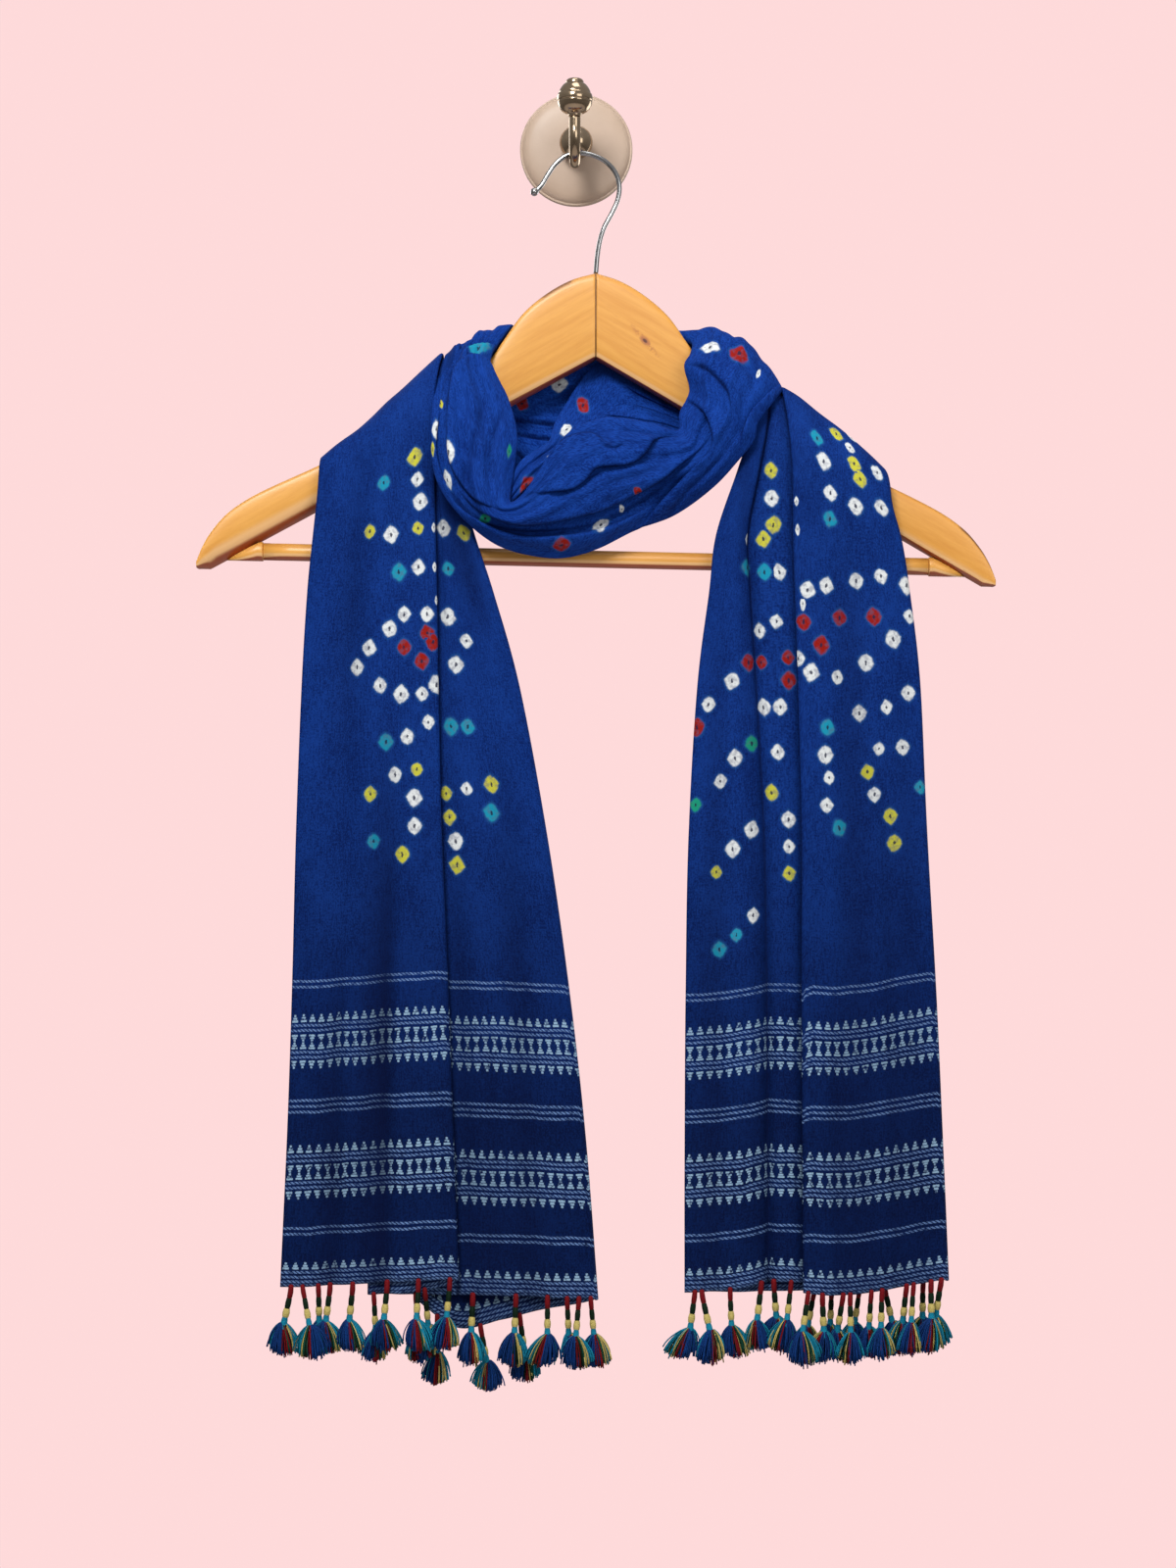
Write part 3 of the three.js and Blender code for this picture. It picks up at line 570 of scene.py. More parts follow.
def rounded(rings):
    """Rings with every corner cut twice, a quarter of the way along both edges."""
    for _ in range(2):
        onward = np.roll(rings, -1, axis=1)
        cut = np.stack([0.75 * rings + 0.25 * onward, 0.25 * rings + 0.75 * onward], axis=2)
        rings = cut.reshape(len(rings), -1, 3)
    return rings


MITRE_GAP, EDGE_CUT = 0.04, 2.2
FULL_DEPTH = 22  # where a section is less deep, its edges are cut less
UNDERCUT_WHOLE, FRONT_CUT_MOST = 150, 6  # the undercut grows as far as this distance


def arm_rings(hand, undercut):
    """Sections of an arm: the drop of its upper edge comes from the table, its underside is
    the straight line drop = under_drop + under_slope * distance, and its middle is at
    y - bow * (distance / span) ** 1.5."""
    distance = np.concatenate([[MITRE_GAP], np.linspace(1.5, 200, 110), np.linspace(201, 222, 30)])
    y = HANGER.y - HANGER.bow * (distance / HANGER.span) ** 1.5
    front, back = y - HANGER.thickness / 2, y + HANGER.thickness / 2
    top = ARM_TOP.at(distance).drop
    low = np.minimum(HANGER.under_drop + HANGER.under_slope * distance, HANGER.tip_drop)
    thin = np.minimum(1, (low - top) / FULL_DEPTH)
    edge = EDGE_CUT * thin
    cut = EDGE_CUT + undercut * np.minimum(distance / UNDERCUT_WHOLE, 1)
    corners = [
        (front, top + edge), (front + EDGE_CUT, top), (back - EDGE_CUT, top), (back, top + edge),
        (back, low - edge), (back - EDGE_CUT, low),
        (front + np.minimum(cut, FRONT_CUT_MOST) * thin, low), (front, low - cut * thin),
    ]
    rings = np.stack([on_hanger(hand * distance, py, drop) for py, drop in corners], axis=1)
    return rounded(rings)


for side, hand, undercut, look in [("left", -1, 5, wood_left), ("right", 1, 1, wood_right)]:
    arm = round_piece(f"arm_{side}_fine", arm_rings(hand, undercut), look)
    stands_for(arm, "wood", f"arm_{side}")

# %% Trouser bar, its sockets and the wire hook
BAR = SimpleNamespace(radius=4.8, sides=40, socket_radius=5.4, drop=161.5, y=-53,
                      socket_start=185.6)
SEAM = 0.35  # mm between pieces that touch


def bar_ring(hand, radius, reach=None):
    """Ring of the bar at a distance to one side; without one it follows the arm's underside,
    where distance = (drop - seam - under_drop) / under_slope."""
    angle = circle(BAR.sides)
    drop = BAR.drop - np.sin(angle) * radius
    if reach is None:
        reach = (drop - SEAM - HANGER.under_drop) / HANGER.under_slope
    return on_hanger(hand * reach, BAR.y + np.cos(angle) * radius, drop)


bar_end = BAR.socket_start - SEAM / 2
bar_reach = np.linspace(-bar_end, bar_end, 24)
bar_rows = np.stack([bar_ring(1, BAR.radius, reach) for reach in bar_reach])
stands_for(round_piece("bar_fine", bar_rows, wood_bar), "wood", "trouser_bar")

for side, hand in [("left", -1), ("right", 1)]:
    mouth = BAR.socket_start + SEAM / 2
    rims = [bar_ring(hand, BAR.socket_radius * girth, mouth + step)
            for girth, step in [(0.93, 0), (0.98, 0.15), (1, 0.6), (1, 3)]]
    rims.append(bar_ring(hand, BAR.socket_radius))
    socket = round_piece(f"socket_{side}", np.stack(rims), wood_bar)
    stands_for(socket, "wood", f"bar_socket_{side}")

WIRE_Y, WIRE_RADIUS, BALL_TIP = -42, 1.35, 2.3
WIRE_ROUTE = [
    (11.2, -78.8), (11.9, -70), (13.4, -60.8), (15.8, -53.2), (20.2, -45), (23.5, -37.4),
    (24.4, -29.8), (22.3, -22.3), (16.8, -16), (9.6, -12.4), (2.4, -11.2), (-5.4, -12.6),
    (-11.4, -17.2), (-15.9, -23.4), (-19.2, -29), (-21.8, -31.8), (-24, -33.4), (-25.4, -34.2),
]
wire_path = path_through([(x, WIRE_Y, z) for x, z in WIRE_ROUTE], 220)
to_tip = (lengths(wire_path)[-1] - lengths(wire_path)) / MM
tip_ball = np.sqrt(np.clip(BALL_TIP**2 - (to_tip - BALL_TIP) ** 2, 0.04, None))
wire_girth = np.where(to_tip < BALL_TIP, tip_ball, np.maximum(tip_ball, WIRE_RADIUS))
wire_rings = swept(wire_path, wire_girth * MM, (0, 1, 0), 20)
stands_for(round_piece("wire_hook", wire_rings, chrome), "wire", "hanger_hook")

# %% [markdown]
# ## The cloth's finish
# Tie-dyed cotton has a plain weave with small slubs, so threads are two stretched noises,
# one along the warp and one along the weft. Each dot was a pinch of cloth bound with thread:
# it stays pale in a rounded diamond with a dark mark at its middle, and dye creeps in at its
# edge. The woven borders are arithmetic on the distance from the hem.

# %% Dyes and woven borders
WHITE, YELLOW = colour(0.72, 0.75, 0.75), colour(0.55, 0.53, 0.050)
TEAL, GREEN = colour(0.010, 0.27, 0.41), colour(0.01, 0.28, 0.17)
RED = colour(0.285, 0.011, 0.006)
DYES = (0.0012, 0.021, 0.175), (0.0086, 0.066, 0.405)  # the blue where it took most and least
THREAD_PALE, THREAD_FADED = colour(0.27, 0.42, 0.57), colour(0.135, 0.235, 0.47)
CREPT_DYE, STAIN = colour(0.02, 0.13, 0.36), colour(0.10, 0.10, 0.18)
BINDING_MARK, FOLD_DARK = colour(0.015, 0.018, 0.05), colour(0.0004, 0.003, 0.028)
# painted shade: the tone that the falls darken to towards the hem, and the heights above the hem
# where the darkening starts and where it is full
HEM_SHADE_TONE, HEM_SHADE_FROM_TO = 0.19, (0.33, 0.05)  # the tone, and metres above the hem

# The borders, in mm above the hem; the triangles and lines of a band from its middle.
BAND_MIDDLES, BAND_LINES = (63.5, 136.0), (9.0, 6.3, -5.8, -8.5)
BAND_TRIANGLES = [(10.8, 15.4, 3.8), (-10.4, -15.0, 3.8), (4.0, 0.0, 3.9), (-4.0, 0.0, 3.9)]
SINGLE_LINES = (29.4, 32.6, 97.0, 100.2, 103.4, 166.4, 169.6, 8.0, 5.4, 2.9, 0.9)
HEM_TRIANGLES = (9.6, 13.8, 3.8)
WOVEN_DRIFT = 1.6  # how far the rows wander up and down
TRIANGLE_PITCH, DASHES = 5.6, 3
TWIST_PITCH, TWIST_SLANT, LINE_HALF, LINE_SOFT = 2.5, 1.4, 0.7, 0.25


def triangles(u, v, base, tip, width):
    """A row of small triangles from v = base to tip, each a stack of dashes that get shorter."""
    rise = (v - base) / (tip - base)
    step = (rise * DASHES).fraction()
    level = rise - step / DASHES
    half = (1 - level) * (width / 2)
    off = abs((u / TRIANGLE_PITCH).fraction() - 0.5) * TRIANGLE_PITCH
    inside = (half - off).ramp(-LINE_SOFT, LINE_SOFT) * step.ramp(0.9, 0.7)
    return inside * rise.above(0) * (1.02 - rise).above(0)


def twisted(u, v, middle):
    """A line of short slanted dashes, as where two threads are twisted together."""
    dash = ((u + v * TWIST_SLANT) / TWIST_PITCH).fraction()
    line = abs(v - middle).ramp(LINE_HALF + LINE_SOFT, LINE_HALF - LINE_SOFT)
    return line * (dash.ramp(0.30, 0.52) * 0.92 + 0.08)


def borders(look, u, v):
    """The share of pale and of faded thread at a place, from its distance v to the hem in mm."""
    def patches(across, up, detail):
        """Noise with patches of that size in mm."""
        place = look.add("ShaderNodeCombineXYZ", {0: u / across, 1: v / up})
        return look.noise(place, 1, detail)

    v = v + (patches(14, 40, 1) - 0.5) * WOVEN_DRIFT
    pale, faded = [], []
    for middle in BAND_MIDDLES:
        from_middle = v - middle
        pale += [triangles(u, from_middle, *row) for row in BAND_TRIANGLES]
        faded += [twisted(u, from_middle, level) for level in BAND_LINES]
    pale.append(triangles(u, v, *HEM_TRIANGLES))
    faded += [twisted(u, v, level) for level in SINGLE_LINES]
    patchy = patches(2.5, 2.5, 2)
    return (reduce(Value.larger, pale) * patchy.ramp(0.30, 0.50),
            reduce(Value.larger, faded) * patchy.ramp(0.2, 0.6))

# %% The whole finish
def cotton(name, tone, bordered=False):
    """Dyed cotton with its dots, and with the woven borders where `bordered`. The dye's colours
    are multiplied by `tone`, which falls towards a bordered end to the tone set for the hem:
    painted shade that darkens the cloth towards its hem."""
    look = Graph(name, Roughness=0.85, Specular_IOR_Level=0.08)
    cloth = look.add("ShaderNodeUVMap", uv_map="cloth")

    def woven(across, up, detail):
        """Noise stretched over the cloth, with that many bumps to the metre each way."""
        return look.noise(look.stretched(cloth, (across, up, 1)), 1, detail)

    threads = (woven(2300, 150, 2) + woven(150, 2300, 2)) * 0.5
    slub, cloud, speckle = woven(700, 160, 3), woven(40, 26, 2), woven(1150, 800, 2)
    shade = threads * 0.30 + slub * 0.22 + cloud * 0.18 + speckle * 0.38

    def dyed(depth):
        """The blue of the cloth, its threads between the dye's two tones."""
        tones = [colour(*(depth * part for part in dye)) for dye in DYES]
        return look.mix(shade.ramp(0.43, 0.63), *tones)

    tint = dyed(tone)
    if bordered:
        place = look.add("ShaderNodeSeparateXYZ", {0: cloth})
        # painted shade: darker towards the hem
        tint = look.mix(place["Y"].ramp(*HEM_SHADE_FROM_TO), tint, dyed(HEM_SHADE_TONE))
        pale, faded = borders(look, place * 1000, place["Y"] * 1000)
        tint = look.mix(faded, tint, THREAD_FADED)
        tint = look.mix(pale, tint, THREAD_PALE)

    x = look.add("ShaderNodeSeparateXYZ", {0: look.add("ShaderNodeUVMap", uv_map="dots")})
    y = x["Y"]
    fuzz, smear, blotch = (look.noise(look.here(), scale, 2) for scale in (330, 800, 420))
    reach = (abs(x) + abs(y)) * 0.36 + (x * x + y * y) ** 0.5 * 0.64 + (fuzz - 0.5) * 0.40
    mark = (x * x * 2.6 + y * y) ** 0.5 + (smear - 0.5) * 0.5
    dye = look.add("ShaderNodeAttribute", attribute_name="dot_colour")
    dye = look.mix(blotch.ramp(0.42, 0.72) * 0.46, dye, STAIN)
    tint = look.mix(reach.ramp(1.35, 0.95) * 0.35, tint, CREPT_DYE)
    tint = look.mix(reach.ramp(1.06, 0.76), tint, dye)
    tint = look.mix(mark.ramp(0.30, 0.16) * 0.9, tint, BINDING_MARK)
    folded_in = look.add("ShaderNodeAttribute", {}, "Fac", attribute_name="fold_shade")
    look.feed("Base Color", look.mix(folded_in * 0.85, tint, FOLD_DARK))
    look.bump(threads * 0.7 + slub * 0.6, 0.00022, 0.55)
    return look


# The cloth is one colour, and the tones differ only for light: the lighter copy for the back cloth
# in the hollow is painted light, and the darker copy for the falls is painted shade.
cotton_plain = cotton("cotton", 0.73)
cotton_painted_light = cotton("cotton_painted_light", 1.05)
cotton_bordered = cotton("cotton_bordered", 0.56, bordered=True)
print("cotton ready")

# %% [markdown]
# ## Cloth as a thin shell
# A cloth is a grid of points: rows run down it and columns across. The shell's two skins lie
# half the thickness to either side, and four strips close its edges. Two UV maps go with it.
# In `cloth`, u is the distance across and v the distance up from the last row. In `dots`, the
# four corners of a face are placed relative to the nearest dot's middle, so the dot is drawn
# true to size wherever the cloth bends.

# %% Distances over a grid
THICKNESS = 0.8 * MM
FAR_AWAY, DOT_REACH = 9.0, 1.9  # in half sizes of a dot: no dot's place, and a dot's last face
NEAREST, NEARER_BY = 2.5 * MM, 0.6 * MM


def along_grid(grid, axis):
    """Distance along the rows or the columns of a grid, from its first ones."""
    gaps = np.linalg.norm(np.diff(grid, axis=axis), axis=-1)
    pad = [(0, 0), (0, 0)]
    pad[axis] = (1, 0)
    return np.pad(np.cumsum(gaps, axis=axis), pad)


def skin_area(grid):
    """Area of a grid's faces, from the diagonals of each."""
    first = grid[1:, 1:] - grid[:-1, :-1]
    second = grid[:-1, 1:] - grid[1:, :-1]
    return np.linalg.norm(np.cross(first, second), axis=-1).sum() / 2


def nearest_in_front(grid, x, z):
    """Row and column of the point at x and z that shows from the front."""
    away = np.hypot(grid[..., 0] - x, grid[..., 2] - z)
    close = away < max(NEAREST, away.min() + NEARER_BY)
    depth = np.where(close, grid[..., 1] + away, np.inf)
    return np.unravel_index(depth.argmin(), depth.shape)

# %% Shell, coordinates and dots
def cloth_shell(name, grid, u, look, dots, shade, beat=1.0):
    """A closed thin shell on a grid. Each dot is (row, column, half width, half height, turn,
    colour); u is the distance of each column from the fold that the pattern starts at, and
    shade is how dark each point is inside a fold. Borders lie `beat` times closer to the hem
    than they were woven."""
    rows, cols = grid.shape[:2]
    normal = np.cross(np.gradient(grid, axis=0), np.gradient(grid, axis=1))
    normal /= np.linalg.norm(normal, axis=-1, keepdims=True) + 1e-12
    skins = [grid + normal * THICKNESS / 2, grid - normal * THICKNESS / 2]
    points = np.concatenate([skin.reshape(-1, 3) for skin in skins])

    index = np.arange(rows * cols).reshape(rows, cols)
    a, b, c, d = index[:-1, :-1], index[1:, :-1], index[1:, 1:], index[:-1, 1:]
    front = np.stack([a, b, c, d], -1).reshape(-1, 4)
    back = np.stack([a, d, c, b], -1).reshape(-1, 4) + rows * cols
    rim = np.concatenate([index[0, :-1], index[:-1, -1], index[-1, :0:-1], index[:0:-1, 0]])
    onward = np.roll(rim, -1)
    edge = np.stack([rim, onward, onward + rows * cols, rim + rows * cols], -1)
    faces = np.concatenate([front, back, edge])

    piece = new_piece(name, points, faces, look)
    mesh = piece.data

    corner = faces.reshape(-1) % (rows * cols)
    down = along_grid(grid, 0)
    up = (down[-1] - down) * beat
    cloth_uv = np.stack([np.broadcast_to(u, (rows, cols)).reshape(-1)[corner],
                         up.reshape(-1)[corner]], -1)
    mesh.uv_layers.new(name="cloth").data.foreach_set("uv", cloth_uv.reshape(-1))

    over = along_grid(grid, 1)
    middle_over = (over[:-1, :-1] + over[1:, 1:]) / 2
    middle_down = (down[:-1, :-1] + down[1:, 1:]) / 2
    nearest = np.full(middle_over.shape, -1)
    least = np.full(middle_over.shape, DOT_REACH)
    for k, (i, j, wide, tall, *_) in enumerate(dots):
        across = (middle_over - over[:-1, [j]]) / wide
        far = np.hypot(across, (middle_down - down[[i], :-1]) / tall)
        closer = far < least
        nearest[closer], least[closer] = k, far[closer]
    skin = nearest.reshape(-1)
    choice = np.concatenate([skin, skin, np.full(len(edge), -1)]).repeat(4)
    dot_uv = np.full((len(choice), 2), FAR_AWAY)
    dye = np.ones((len(choice), 4))
    for k, (i, j, wide, tall, angle, tint) in enumerate(dots):
        here = choice == k
        row, col = np.divmod(corner[here], cols)
        x = (over[row, col] - over[row, j]) / wide
        y = (down[i, col] - down[row, col]) / tall
        turned_x = x * np.cos(angle) - y * np.sin(angle)
        turned_y = x * np.sin(angle) + y * np.cos(angle)
        dot_uv[here] = np.stack([turned_x, turned_y], -1)
        dye[here] = tint
    mesh.uv_layers.new(name="dots").data.foreach_set("uv", dot_uv.reshape(-1))
    note(piece, "dot_colour", "FLOAT_COLOR", "CORNER", dye)
    note(piece, "fold_shade", "FLOAT", "POINT", np.tile(shade.reshape(-1), 2))
    print(f"{name}: {4 * (rows - 1) * (cols - 1)} triangles, {skin_area(grid) * 1e4:.0f} cm2,",
          f"{over[:, -1].mean():.3f} x {down[-1].mean():.3f} m, {len(dots)} dots")
    return piece


DOT_WIDE, DOT_TALL = 4.1 * MM, 4.8 * MM


def dot_at(grid, random, tint, x, z, wide=None, tall=None, angle=0.0):
    """A dot that shows at x and z in mm. Without a size of its own, wide and tall in mm, a small
    chance decides its size and turn."""
    i, j = nearest_in_front(grid, x * MM, z * MM)
    if wide:
        return (i, j, wide / 2 * MM, tall / 2 * MM, angle, tint)
    size = random.uniform(0.84, 1.18)
    return (i, j, DOT_WIDE * size, DOT_TALL * size, random.normal(0, 0.16), tint)


def hidden_dot(grid, random, row_share, column_share, tint):
    """A dot on a layer that doesn't show from the front, by its share of the rows and columns."""
    i = int(row_share * (grid.shape[0] - 1))
    j = int(column_share * (grid.shape[1] - 1))
    return (i, j, DOT_WIDE, DOT_TALL, random.normal(0, 0.2), tint)

# %% [markdown]
# ## The two falls
# Each end of the shawl starts behind an arm, goes over it and hangs down in pleats. A table
# gives the outline's edges level by level, and a section gives the pleats: how far each layer
# stands out from the plane at the back, and how far its hem reaches down. Creases are soft
# troughs and ridges, each a short list of height, sideways place, depth and width. A crease
# moves all layers at its place together, as real cloth does, so no layer cuts another.

# %% Tables of the falls
FALL_LEFT = Table(
    "at left leftZ right rightZ y lean fold tuck end",
    (0, -139, -212, -90, -172, -38, 175, -95, -112, -108),
    (1, -140, -197, -72, -137, -38, 155, -80, -110, -106),
    (2, -141, -187, -66, -125, -43, 115, -75, -108, -105),
    (3, -141.6, -186, -65, -125.5, -52, 80, -75, -108, -104),
    (4, -142.2, -190, -68, -147, -59.5, 28, -78, -108, -102),
    (5, -143.4, -206, -69, -181, -60, 0, -78.5, -108, -98),
    (6, -146, -230, -57, -226, -60, 0, -77.5, -108, -94),
    (7, -149, -260, -45.8, -260, -60, 0, -76.8, -109, -92),
    (8, -152.1, -312, -31.2, -312, -60, 0, -76, -110, -91),
    (9, -155.2, -393, -16, -393, -60, 0, -74.2, -111, -90),
    (10, -157.3, -475, -4, -475, -60, 0, -70.8, -112, -90),
    (11, -160, -556, 5.2, -556, -60, 0, -67.9, -114, -90),
    (12, -164, -644, 12.2, -644, -60, 0, -64.6, -115, -90),
)
FALL_RIGHT = Table(
    "at left leftZ right rightZ y lean valley fold end",
    (0, 112, -181, 167, -219, -38.5, 175, 122, 131, 122),
    (1, 106, -157, 170, -207, -38.5, 155, 114, 122, 118),
    (2, 101, -146, 173, -199, -43.5, 115, 108.5, 114.5, 112),
    (3, 101, -145.5, 173.4, -198, -53, 80, 108, 115.5, 111),
    (4, 98, -169, 173.8, -202, -60.5, 28, 106, 118.5, 110),
    (5, 90, -192, 175.2, -212, -60.5, 0, 101.5, 120, 102),
    (6, 78, -228, 180.5, -232, -60, 0, 95.6, 120.2, 94),
    (7, 74, -260, 184.8, -260, -60, 0, 96.9, 121.2, 86),
    (8, 67.4, -312, 190.6, -312, -60, 0, 100.1, 123, 80),
    (9, 62.6, -393, 194.3, -393, -60, 0, 104.3, 125, 74),
    (10, 61, -475, 199, -475, -60, 0, 105.9, 124.9, 72),
    (11, 60.4, -556, 202.7, -556, -60, 0, 106.4, 125.3, 72),
    (12, 60.3, -644, 206.4, -644, -60, 0, 106.8, 125.8, 72),
)

# %% Sections of the falls
def layer(name, *stops):
    """Stops across one layer: x, distance out and hem drop in mm, and the layer's name."""
    return [(*stop, name) for stop in stops]


def turn(x, start, stop, bulge, hem):
    """Half circle between two layers, bulging sideways: points at every 30 degrees."""
    for angle in np.radians([30, 60, 90, 120, 150]):
        out = start + (stop - start) * (1 - np.cos(angle)) / 2
        yield x + bulge * np.sin(angle), out, hem, "turn"


def section_left(r):
    """The left fall's layers, from the outer edge of the front one to the rear one's end."""
    front, wide, rear = r.fold - r.left, r.right - r.fold, r.right - r.end
    inside = r.tuck + 0.5 * (r.fold - r.tuck)
    return [
        *layer("front", (r.left, 3.2, -1.5), (r.left + 0.14 * front, 6.2, -1),
               (r.left + 0.3 * front, 7.2, 0), (r.left + 0.42 * front, 9.6, 1),
               (r.left + 0.54 * front, 12.4, 2), (r.left + 0.66 * front, 13, 3),
               (r.left + 0.84 * front, 14.6, 4), (r.fold - 2, 14.2, 4.6)),
        *turn(r.fold - 2, 14.2, 10.2, 2, 4),
        *layer("tuck", (r.fold - 2, 10.2, 2), (inside, 10, -3), (r.tuck + 2, 10, -5)),
        *turn(r.tuck + 2, 10, 6, -2, -5),
        *layer("tuck", (r.tuck + 2, 6, -5)),
        *layer("open", (inside, 6, -5), (r.fold - 1, 6.4, -5.4), (r.fold + 2.4, 6.9, -5.4),
               (r.fold + 0.2 * wide, 8.4, -5.6), (r.fold + 0.45 * wide, 8, -6),
               (r.fold + 0.72 * wide, 9, -6.6), (r.right - 2.5, 8, -7)),
        *turn(r.right - 2.5, 8, 2, 2.5, -8),
        *layer("rear", (r.right - 2.5, 2, -9), (r.right - 0.28 * rear, 2, -14),
               (r.right - 0.52 * rear, 2.2, -20), (r.right - 0.76 * rear, 2, -24.5),
               (r.end, 1.8, -8)),
    ]


def section_right(r):
    """The right fall's layers, in three pleats, in the same form."""
    first, middle, wide = r.valley - r.left, r.fold - r.valley, r.right - r.fold
    rear = r.right - r.end
    under = r.fold + np.minimum(20, 0.3 * wide)
    return [
        *layer("front", (r.left, 6, -4), (r.left + 0.2 * first, 8.6, -3.5),
               (r.left + 0.5 * first, 9.6, -2), (r.left + 0.8 * first, 9, 0),
               (r.valley - 0.06 * first, 7.4, 1.5), (r.valley, 3.8, 2),
               (r.valley + 0.2 * middle, 7, 2), (r.valley + 0.55 * middle, 8, 2),
               (r.fold - 3.4, 7.4, 1.7), (r.fold - 0.6, 6.8, 1.5)),
        *layer("tuck", (r.fold + 1.5, 6.5, 1.4), (under - 2, 6, 0)),
        *turn(under - 2, 6, 10, 2, -1),
        *layer("tuck", (under - 2, 10, -2), (r.fold + 2, 10.2, -2.5)),
        *turn(r.fold + 2, 10.2, 14.2, -2, -3),
        *layer("wide", (r.fold + 2, 14.2, -3), (r.fold + 0.16 * wide, 14.6, -4.2),
               (r.fold + 0.36 * wide, 13, -4), (r.fold + 0.6 * wide, 13.4, -1),
               (r.fold + 0.82 * wide, 12, 2), (r.right - 3, 10, 3.6)),
        *turn(r.right - 3, 10, 2, 3, 3),
        *layer("rear", (r.right - 3, 2, 2), (r.right - 0.35 * rear, 2, -2),
               (r.right - 0.7 * rear, 2, -4), (r.end, 2, -4.5)),
    ]

# %% Creases and crumples
def creased(*lines):
    """Soft troughs (depth above 0) and ridges: rows of height, x, depth and width in mm."""
    return [Table("z x depth width", *sorted(rows)) for rows in lines]


def pressed_in(creases, x, z):
    """How far the creases press the cloth in: depth * exp(-((x - middle) / width) ** 2)."""
    total = np.zeros_like(x)
    for line in creases:
        level = line.at(np.clip(z.ravel(), line.rows[0, 0], line.rows[-1, 0]))
        middle, depth, width = (v.reshape(x.shape) for v in (level.x, level.depth, level.width))
        total += depth * np.exp(-(((x - middle) / width) ** 2))
    return total


def crumpled(x, z, random, sizes, height):
    """Uneven shallow waves: a few sines in seeded directions, mostly running down the cloth."""
    total = np.zeros_like(x)
    for size in sizes:
        slope = random.normal(0, 0.25)
        phase, sway = random.uniform(0, 2 * np.pi, 2)
        bend = 0.8 * np.sin(z / random.uniform(60, 110) + sway)
        total += np.sin(2 * np.pi * (x + slope * z) / size + phase + bend)
    return total * height / len(sizes)

# %% The grid of a fall
def evenly(table, track, rows):
    """Levels of a table that are evenly spaced along a track, and the table's values there."""
    levels = np.linspace(0, table.rows[-1, 0], 1500)
    way = lengths(track(table.at(levels)))
    at = np.interp(np.linspace(0, way[-1], rows), way, levels)
    return at, table.at(at)


FALL_ROWS, FALL_COLUMNS = 216, 204
TURN_SHARE, CLOSE_SHARE, CLOSE = 2.6, 3.2, 4  # more columns in a turn, and in steps below 4 mm
MIDDLE_LAYER = 8  # mm in front of the plane at the back
CRUMPLES, CRUMPLE = (23, 34, 51, 76), 0.55
CREASE_SHADE, VALLEY_SHADE, LAP = 0.24, 0.95, 1.5


def fall_track(r):
    """The way down a fall: y and z of its middle layer."""
    lean = np.radians(r.lean)
    z = (r.leftZ + r.rightZ) / 2 + MIDDLE_LAYER * np.sin(lean)
    return np.stack([r.y - MIDDLE_LAYER * np.cos(lean), z], -1)


def fall_grid(table, section, creases, seed, flatter, sag):
    """Points of a fall in metres, the u of its columns, the name of each column's layer and the
    shade in its folds. Over the arm the layers lose the share `flatter` of their distance out,
    and the cloth sags by `sag` mm."""
    random = np.random.default_rng(seed)
    at, r = evenly(table, fall_track, FALL_ROWS)

    def reached(start, span):
        """0 up to the level `start`, and 1 from `span` levels further down."""
        return np.clip((at - start) / span, 0, 1)[:, None]

    over_arm, hang, free = 1 - reached(2, 3), reached(6, 6) ** 1.5, reached(3.6, 1.6)

    stops = section(r)
    names = np.array([stop[3] for stop in stops])
    x, out, hem = (
        np.stack([np.broadcast_to(stop[k], at.shape) for stop in stops]) for k in range(3)
    )
    knots = lengths(np.stack([x[:, -1], out[:, -1]], -1))
    step, turning = np.diff(knots), names == "turn"
    gap = step * np.where(turning[1:] | turning[:-1], TURN_SHARE, 1.0)
    gap = np.where(step < CLOSE, CLOSE_SHARE * step, gap)
    share = np.concatenate([[0], np.cumsum(gap)])
    fine = np.interp(np.linspace(0, share[-1], FALL_COLUMNS), share, knots)
    owner = names[np.clip(np.searchsorted(knots, fine, side="right") - 1, 0, len(names) - 1)]
    x, out, hem = (smooth(knots, values, fine).T for values in (x, out, hem))

    out = out * (1 - flatter * over_arm)
    left, right, left_z, right_z, fold, y, lean = (
        value[:, None] for value in (r.left, r.right, r.leftZ, r.rightZ, r.fold, r.y, r.lean)
    )
    across = (x - left) / (right - left)
    z = left_z + across * (right_z - left_z) + hem * hang
    z = z - sag * over_arm * np.sin(np.pi * np.clip(across, 0, 1))
    pressed = pressed_in(creases, x, z)
    out = out - free * pressed
    out = out + crumpled(x, z, random, CRUMPLES, CRUMPLE) * (0.35 + 0.65 * free)
    lean = np.radians(lean)
    grid = np.stack([x, y - out * np.cos(lean), z + out * np.sin(lean)], -1) * MM

    shade = np.clip(CREASE_SHADE * pressed, 0, 1) * free
    if table is FALL_LEFT:
        beside = np.where(owner == "open", x - fold, -np.inf)
    else:
        beside = np.where(owner == "front", fold - x, -np.inf)
        valley = np.exp(-((x - r.valley[:, None]) ** 2)) * np.isin(owner, ["front", "wide"])
        shade = np.maximum(shade, VALLEY_SHADE * valley)
    return grid, along_grid(grid, 1)[-1], owner, np.maximum(shade, lap_shade(beside))


def lap_shade(beside):
    """The shade on a layer at a distance in mm from the fold that laps over it: a thin line and
    a wide soft one, and none further behind the fold than LAP."""
    beside = np.maximum(beside, 0) + np.where(beside > -LAP, 0, np.inf)
    return 0.75 * np.exp(-beside / 0.8) + 0.22 * np.exp(-beside / 5)

